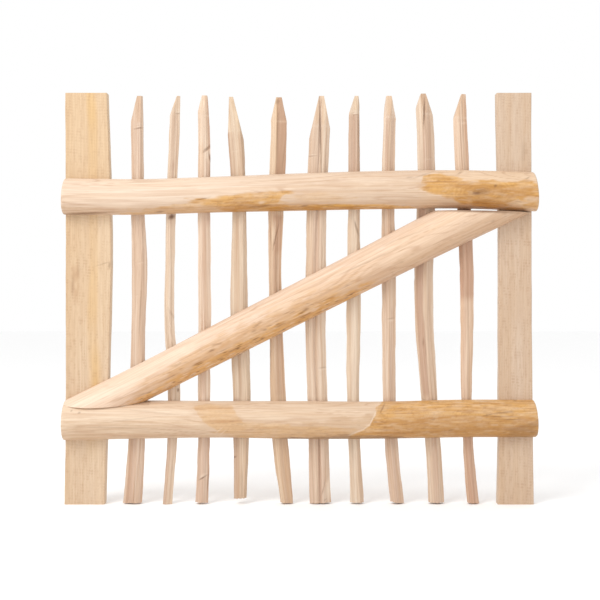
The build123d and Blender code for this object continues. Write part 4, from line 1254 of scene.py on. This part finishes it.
class GATE_OT_brace(GateOperator):
    """Makes the half-round brace between the rails"""

    bl_idname = "gate.brace"
    bl_label = "Brace"

    def execute(self, context):
        sizes = context.scene.gate_sizes
        seat, fall = BRACE_SEAT_SLOPE, BRACE_TOP_FALL
        low_cuts = [
            (np.array([0, SEAT_Y, BRACE_SEAT_Z]), np.array([0, sin(seat), -cos(seat)])),
            (np.array([BRACE_BUTT_X, 0, 0]), np.array([-1.0, 0, 0])),
        ]
        high_cuts = [
            (np.array([BRACE_TOP[0], 0, BRACE_TOP[1]]), np.array([sin(fall), 0, cos(fall)])),
            (np.array([BRACE_TIP_X, 0, 0]), np.array([1.0, 0, 0])),
        ]
        piece = sawn_pole(
            "brace_pole", brace_pole(), (low_cuts, high_cuts),
            shaved_relief(37, sizes.shave_depth / MM, ripple=0.35, fibre=0.16), BRACE_ARRIS,
            pole_paint(BRACE_ZONES, BRACE_MARKS, 37, torn=0.9, climbs=True))
        dress(piece, "brace", "chestnut_peeled", "peeled_brace", seed=0.87, fibre=0.2,
              streak=0.55)
        return {"FINISHED"}


STRAW_MIDDLE, STRAW_HALF, PALE_STREAK_X = -446, 20, -426
BROWN_AT, BROWN_HALF = (-478, 475), (17, 60)


def hinge_board_paint(x, z, seed):
    """The wide stile has a straw-coloured band right of its middle, brown blotches near half
    its height and fresher wood at its right edge and side."""
    middle = STRAW_MIDDLE + 5 * step(780, 620, z) + 6 * noise(z / 130, z * 0, z * 0, seed + 30)
    band = step(1.0, 0.2, np.abs(x - middle) / STRAW_HALF)
    band = band * (0.9 + 0.3 * noise(z / 60, x / 14, x * 0, seed + 31)) * step(60, 300, z)
    band = band * (0.5 + 0.5 * step(600, 760, z) + 0.35 * step(360, 300, z))
    wide = 0.15 * step(640, 720, z) + 0.2 * step(200, 460, z)
    far = np.hypot((x - BROWN_AT[0]) / BROWN_HALF[0], (z - BROWN_AT[1]) / BROWN_HALF[1])
    brown = step(1, 0.3, far) * step(-0.4, 0.5, drawn(BROWN_BLOTCHES, z, x, x * 0, seed))
    fresh = np.maximum(0.4 * step(-420, -408, x), 0.35 * step(600, 760, z))
    fresh = np.maximum(fresh, 0.5 * step(8, 2, np.abs(x - PALE_STREAK_X)) * step(660, 600, z))
    return {"stain": np.clip(band, wide, 1), "bare": fresh,
            "brown": 0.9 * brown, "low": 0.3 * step(-482, -498, x) + 0.2 * step(-440, -470, x)}


def latch_board_paint(x, z, seed):
    """The narrow stile is even, with soft pinkish bands."""
    bands = 0.5 + 0.5 * drawn(PINK_BANDS, z, x, x * 0, seed)
    return {"stain": 0.12 * np.clip(bands, 0, 1), "bare": 0.3 * step(600, 760, z),
            "low": 0.3 * bands}


class GATE_OT_stiles(GateOperator):
    """Makes the two band-sawn stiles"""

    bl_idname = "gate.stiles"
    bl_label = "Stiles"

    def execute(self, context):
        saw = context.scene.gate_sizes.saw_depth / MM
        hinge = sawn_stile(
            "hinge_stile_board", STILE_HINGE_Z, (STILE_HINGE_OUTER, STILE_HINGE_INNER),
            seed=41, saw_depth=saw, wane=0.0, marks=STILE_HINGE_MARKS, paint=hinge_board_paint)
        dress(hinge, "stile_hinge", "chestnut_sawn", "sawn_hinge_stile", seed=0.37,
              stain="straw")
        latch = sawn_stile(
            "latch_stile_board", STILE_LATCH_Z, (STILE_LATCH_INNER, STILE_LATCH_OUTER),
            seed=53, saw_depth=saw, wane=0.3, marks=STILE_LATCH_MARKS, paint=latch_board_paint)
        dress(latch, "stile_latch", "chestnut_sawn", "sawn_latch_stile", seed=0.59)
        return {"FINISHED"}


class GATE_OT_pales(GateOperator):
    """Makes the ten cleft pales"""

    bl_idname = "gate.pales"
    bl_label = "Cleft Pales"

    def execute(self, context):
        tear = context.scene.gate_sizes.tear_depth / MM
        for number, pale in enumerate(PALES):
            label = f"{number + 1:02d}"
            piece = cleft_pale(f"cleft_pale_{label}", pale, number, PALE_MARKS[number],
                               PALE_FACETS[number], tear)
            dress(piece, f"pale_{label}", "chestnut_cleft", f"cleft_{label}",
                  seed=0.71 + 0.13 * number)
        return {"FINISHED"}


class GATE_OT_fasteners(GateOperator):
    """Gives the nails and screws their galvanised finish"""

    bl_idname = "gate.fasteners"
    bl_label = "Nails and Screws"

    def execute(self, context):
        steel = galvanised(context.scene.gate_colours.steel)
        for node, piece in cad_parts.items():
            if node.startswith(("nails", "screws")):
                piece.data.materials.clear()
                piece.data.materials.append(steel)
        return {"FINISHED"}


# The stage, in metres and degrees
FLOOR_REACH = 14.0
KEY_PLACE, KEY_TURN, KEY_SIZE, KEY_POWER = (-1.7, -2.2, 3.0), (48, 0, -36), 1.8, 70
CAMERA_PLACE, CAMERA_LENS, CAMERA_SENSOR = (0.00214, SEAT_Y * MM - 2.55, 0.4376), 71.5, 36.0


class GATE_OT_stage(GateOperator):
    """Makes the pale floor, the soft studio light and the camera"""

    bl_idname = "gate.stage"
    bl_label = "Floor, Light and Camera"

    def execute(self, context):
        scene = context.scene
        places = np.linspace(-FLOOR_REACH, FLOOR_REACH, 3)
        width, depth = np.meshgrid(places, places)
        points = np.stack([width, depth, np.zeros_like(width)], -1).reshape(-1, 3)
        faces = [(row * 3 + col, row * 3 + col + 1, row * 3 + col + 4, row * 3 + col + 3)
                 for row in range(2) for col in range(2)]
        mesh = bpy.data.meshes.new("studio_floor")
        mesh.from_pydata(points.tolist(), [], faces)
        floor = bpy.data.objects.new("studio_floor", mesh)
        scene.collection.objects.link(floor)
        paint = Mixer("studio_floor_paint", (0.97, 0.97, 0.97, 1))
        mesh.materials.append(paint.finish({"Roughness": 0.9, "Specular IOR Level": 0.1}))

        world = bpy.data.worlds.new("studio_air")
        world.use_nodes = True
        feed(world.node_tree, world.node_tree.nodes["Background"],
             {"Color": (1, 1, 1, 1), "Strength": 1.0})
        scene.world = world

        lamp = bpy.data.lights.new("key_light", "AREA")
        lamp.shape = "RECTANGLE"
        lamp.size = lamp.size_y = KEY_SIZE
        lamp.energy = KEY_POWER
        key_light = bpy.data.objects.new("key_light", lamp)
        key_light.location = KEY_PLACE
        key_light.rotation_euler = [radians(angle) for angle in KEY_TURN]
        scene.collection.objects.link(key_light)

        lens = bpy.data.cameras.new("front_camera")
        lens.lens, lens.sensor_width = CAMERA_LENS, CAMERA_SENSOR
        camera = bpy.data.objects.new("front_camera", lens)
        camera.location = CAMERA_PLACE
        camera.rotation_euler = (pi / 2, 0, 0)
        scene.collection.objects.link(camera)
        scene.camera = camera
        scene.view_settings.view_transform = "Standard"
        return {"FINISHED"}


OPERATORS = (GATE_OT_stiles, GATE_OT_pales, GATE_OT_top_rail, GATE_OT_bottom_rail,
             GATE_OT_brace, GATE_OT_fasteners, GATE_OT_stage)


class GATE_PT_panel(bpy.types.Panel):
    """Lists the gate's pieces in the order they are made"""

    bl_idname = "GATE_PT_panel"
    bl_label = "Cleft Picket Gate"
    bl_space_type = "VIEW_3D"
    bl_region_type = "UI"
    bl_category = "Gate"

    def draw(self, context):
        column = self.layout.column()
        for group in (context.scene.gate_sizes, context.scene.gate_colours):
            for key in group.bl_rna.properties.keys():
                if key not in ("rna_type", "name"):
                    column.prop(group, key)
        for operator in OPERATORS:
            column.operator(operator.bl_idname)


CLASSES = (GateSizes, GateColours, *OPERATORS, GATE_PT_panel)


def register():
    for item in CLASSES:
        bpy.utils.register_class(item)
    bpy.types.Scene.gate_sizes = PointerProperty(type=GateSizes)
    bpy.types.Scene.gate_colours = PointerProperty(type=GateColours)


def unregister():
    del bpy.types.Scene.gate_colours
    del bpy.types.Scene.gate_sizes
    for item in reversed(CLASSES):
        bpy.utils.unregister_class(item)


def main():
    register()
    for operator in OPERATORS:
        area, name = operator.bl_idname.split(".")
        getattr(getattr(bpy.ops, area), name)()


if __name__ == "__main__":
    main()
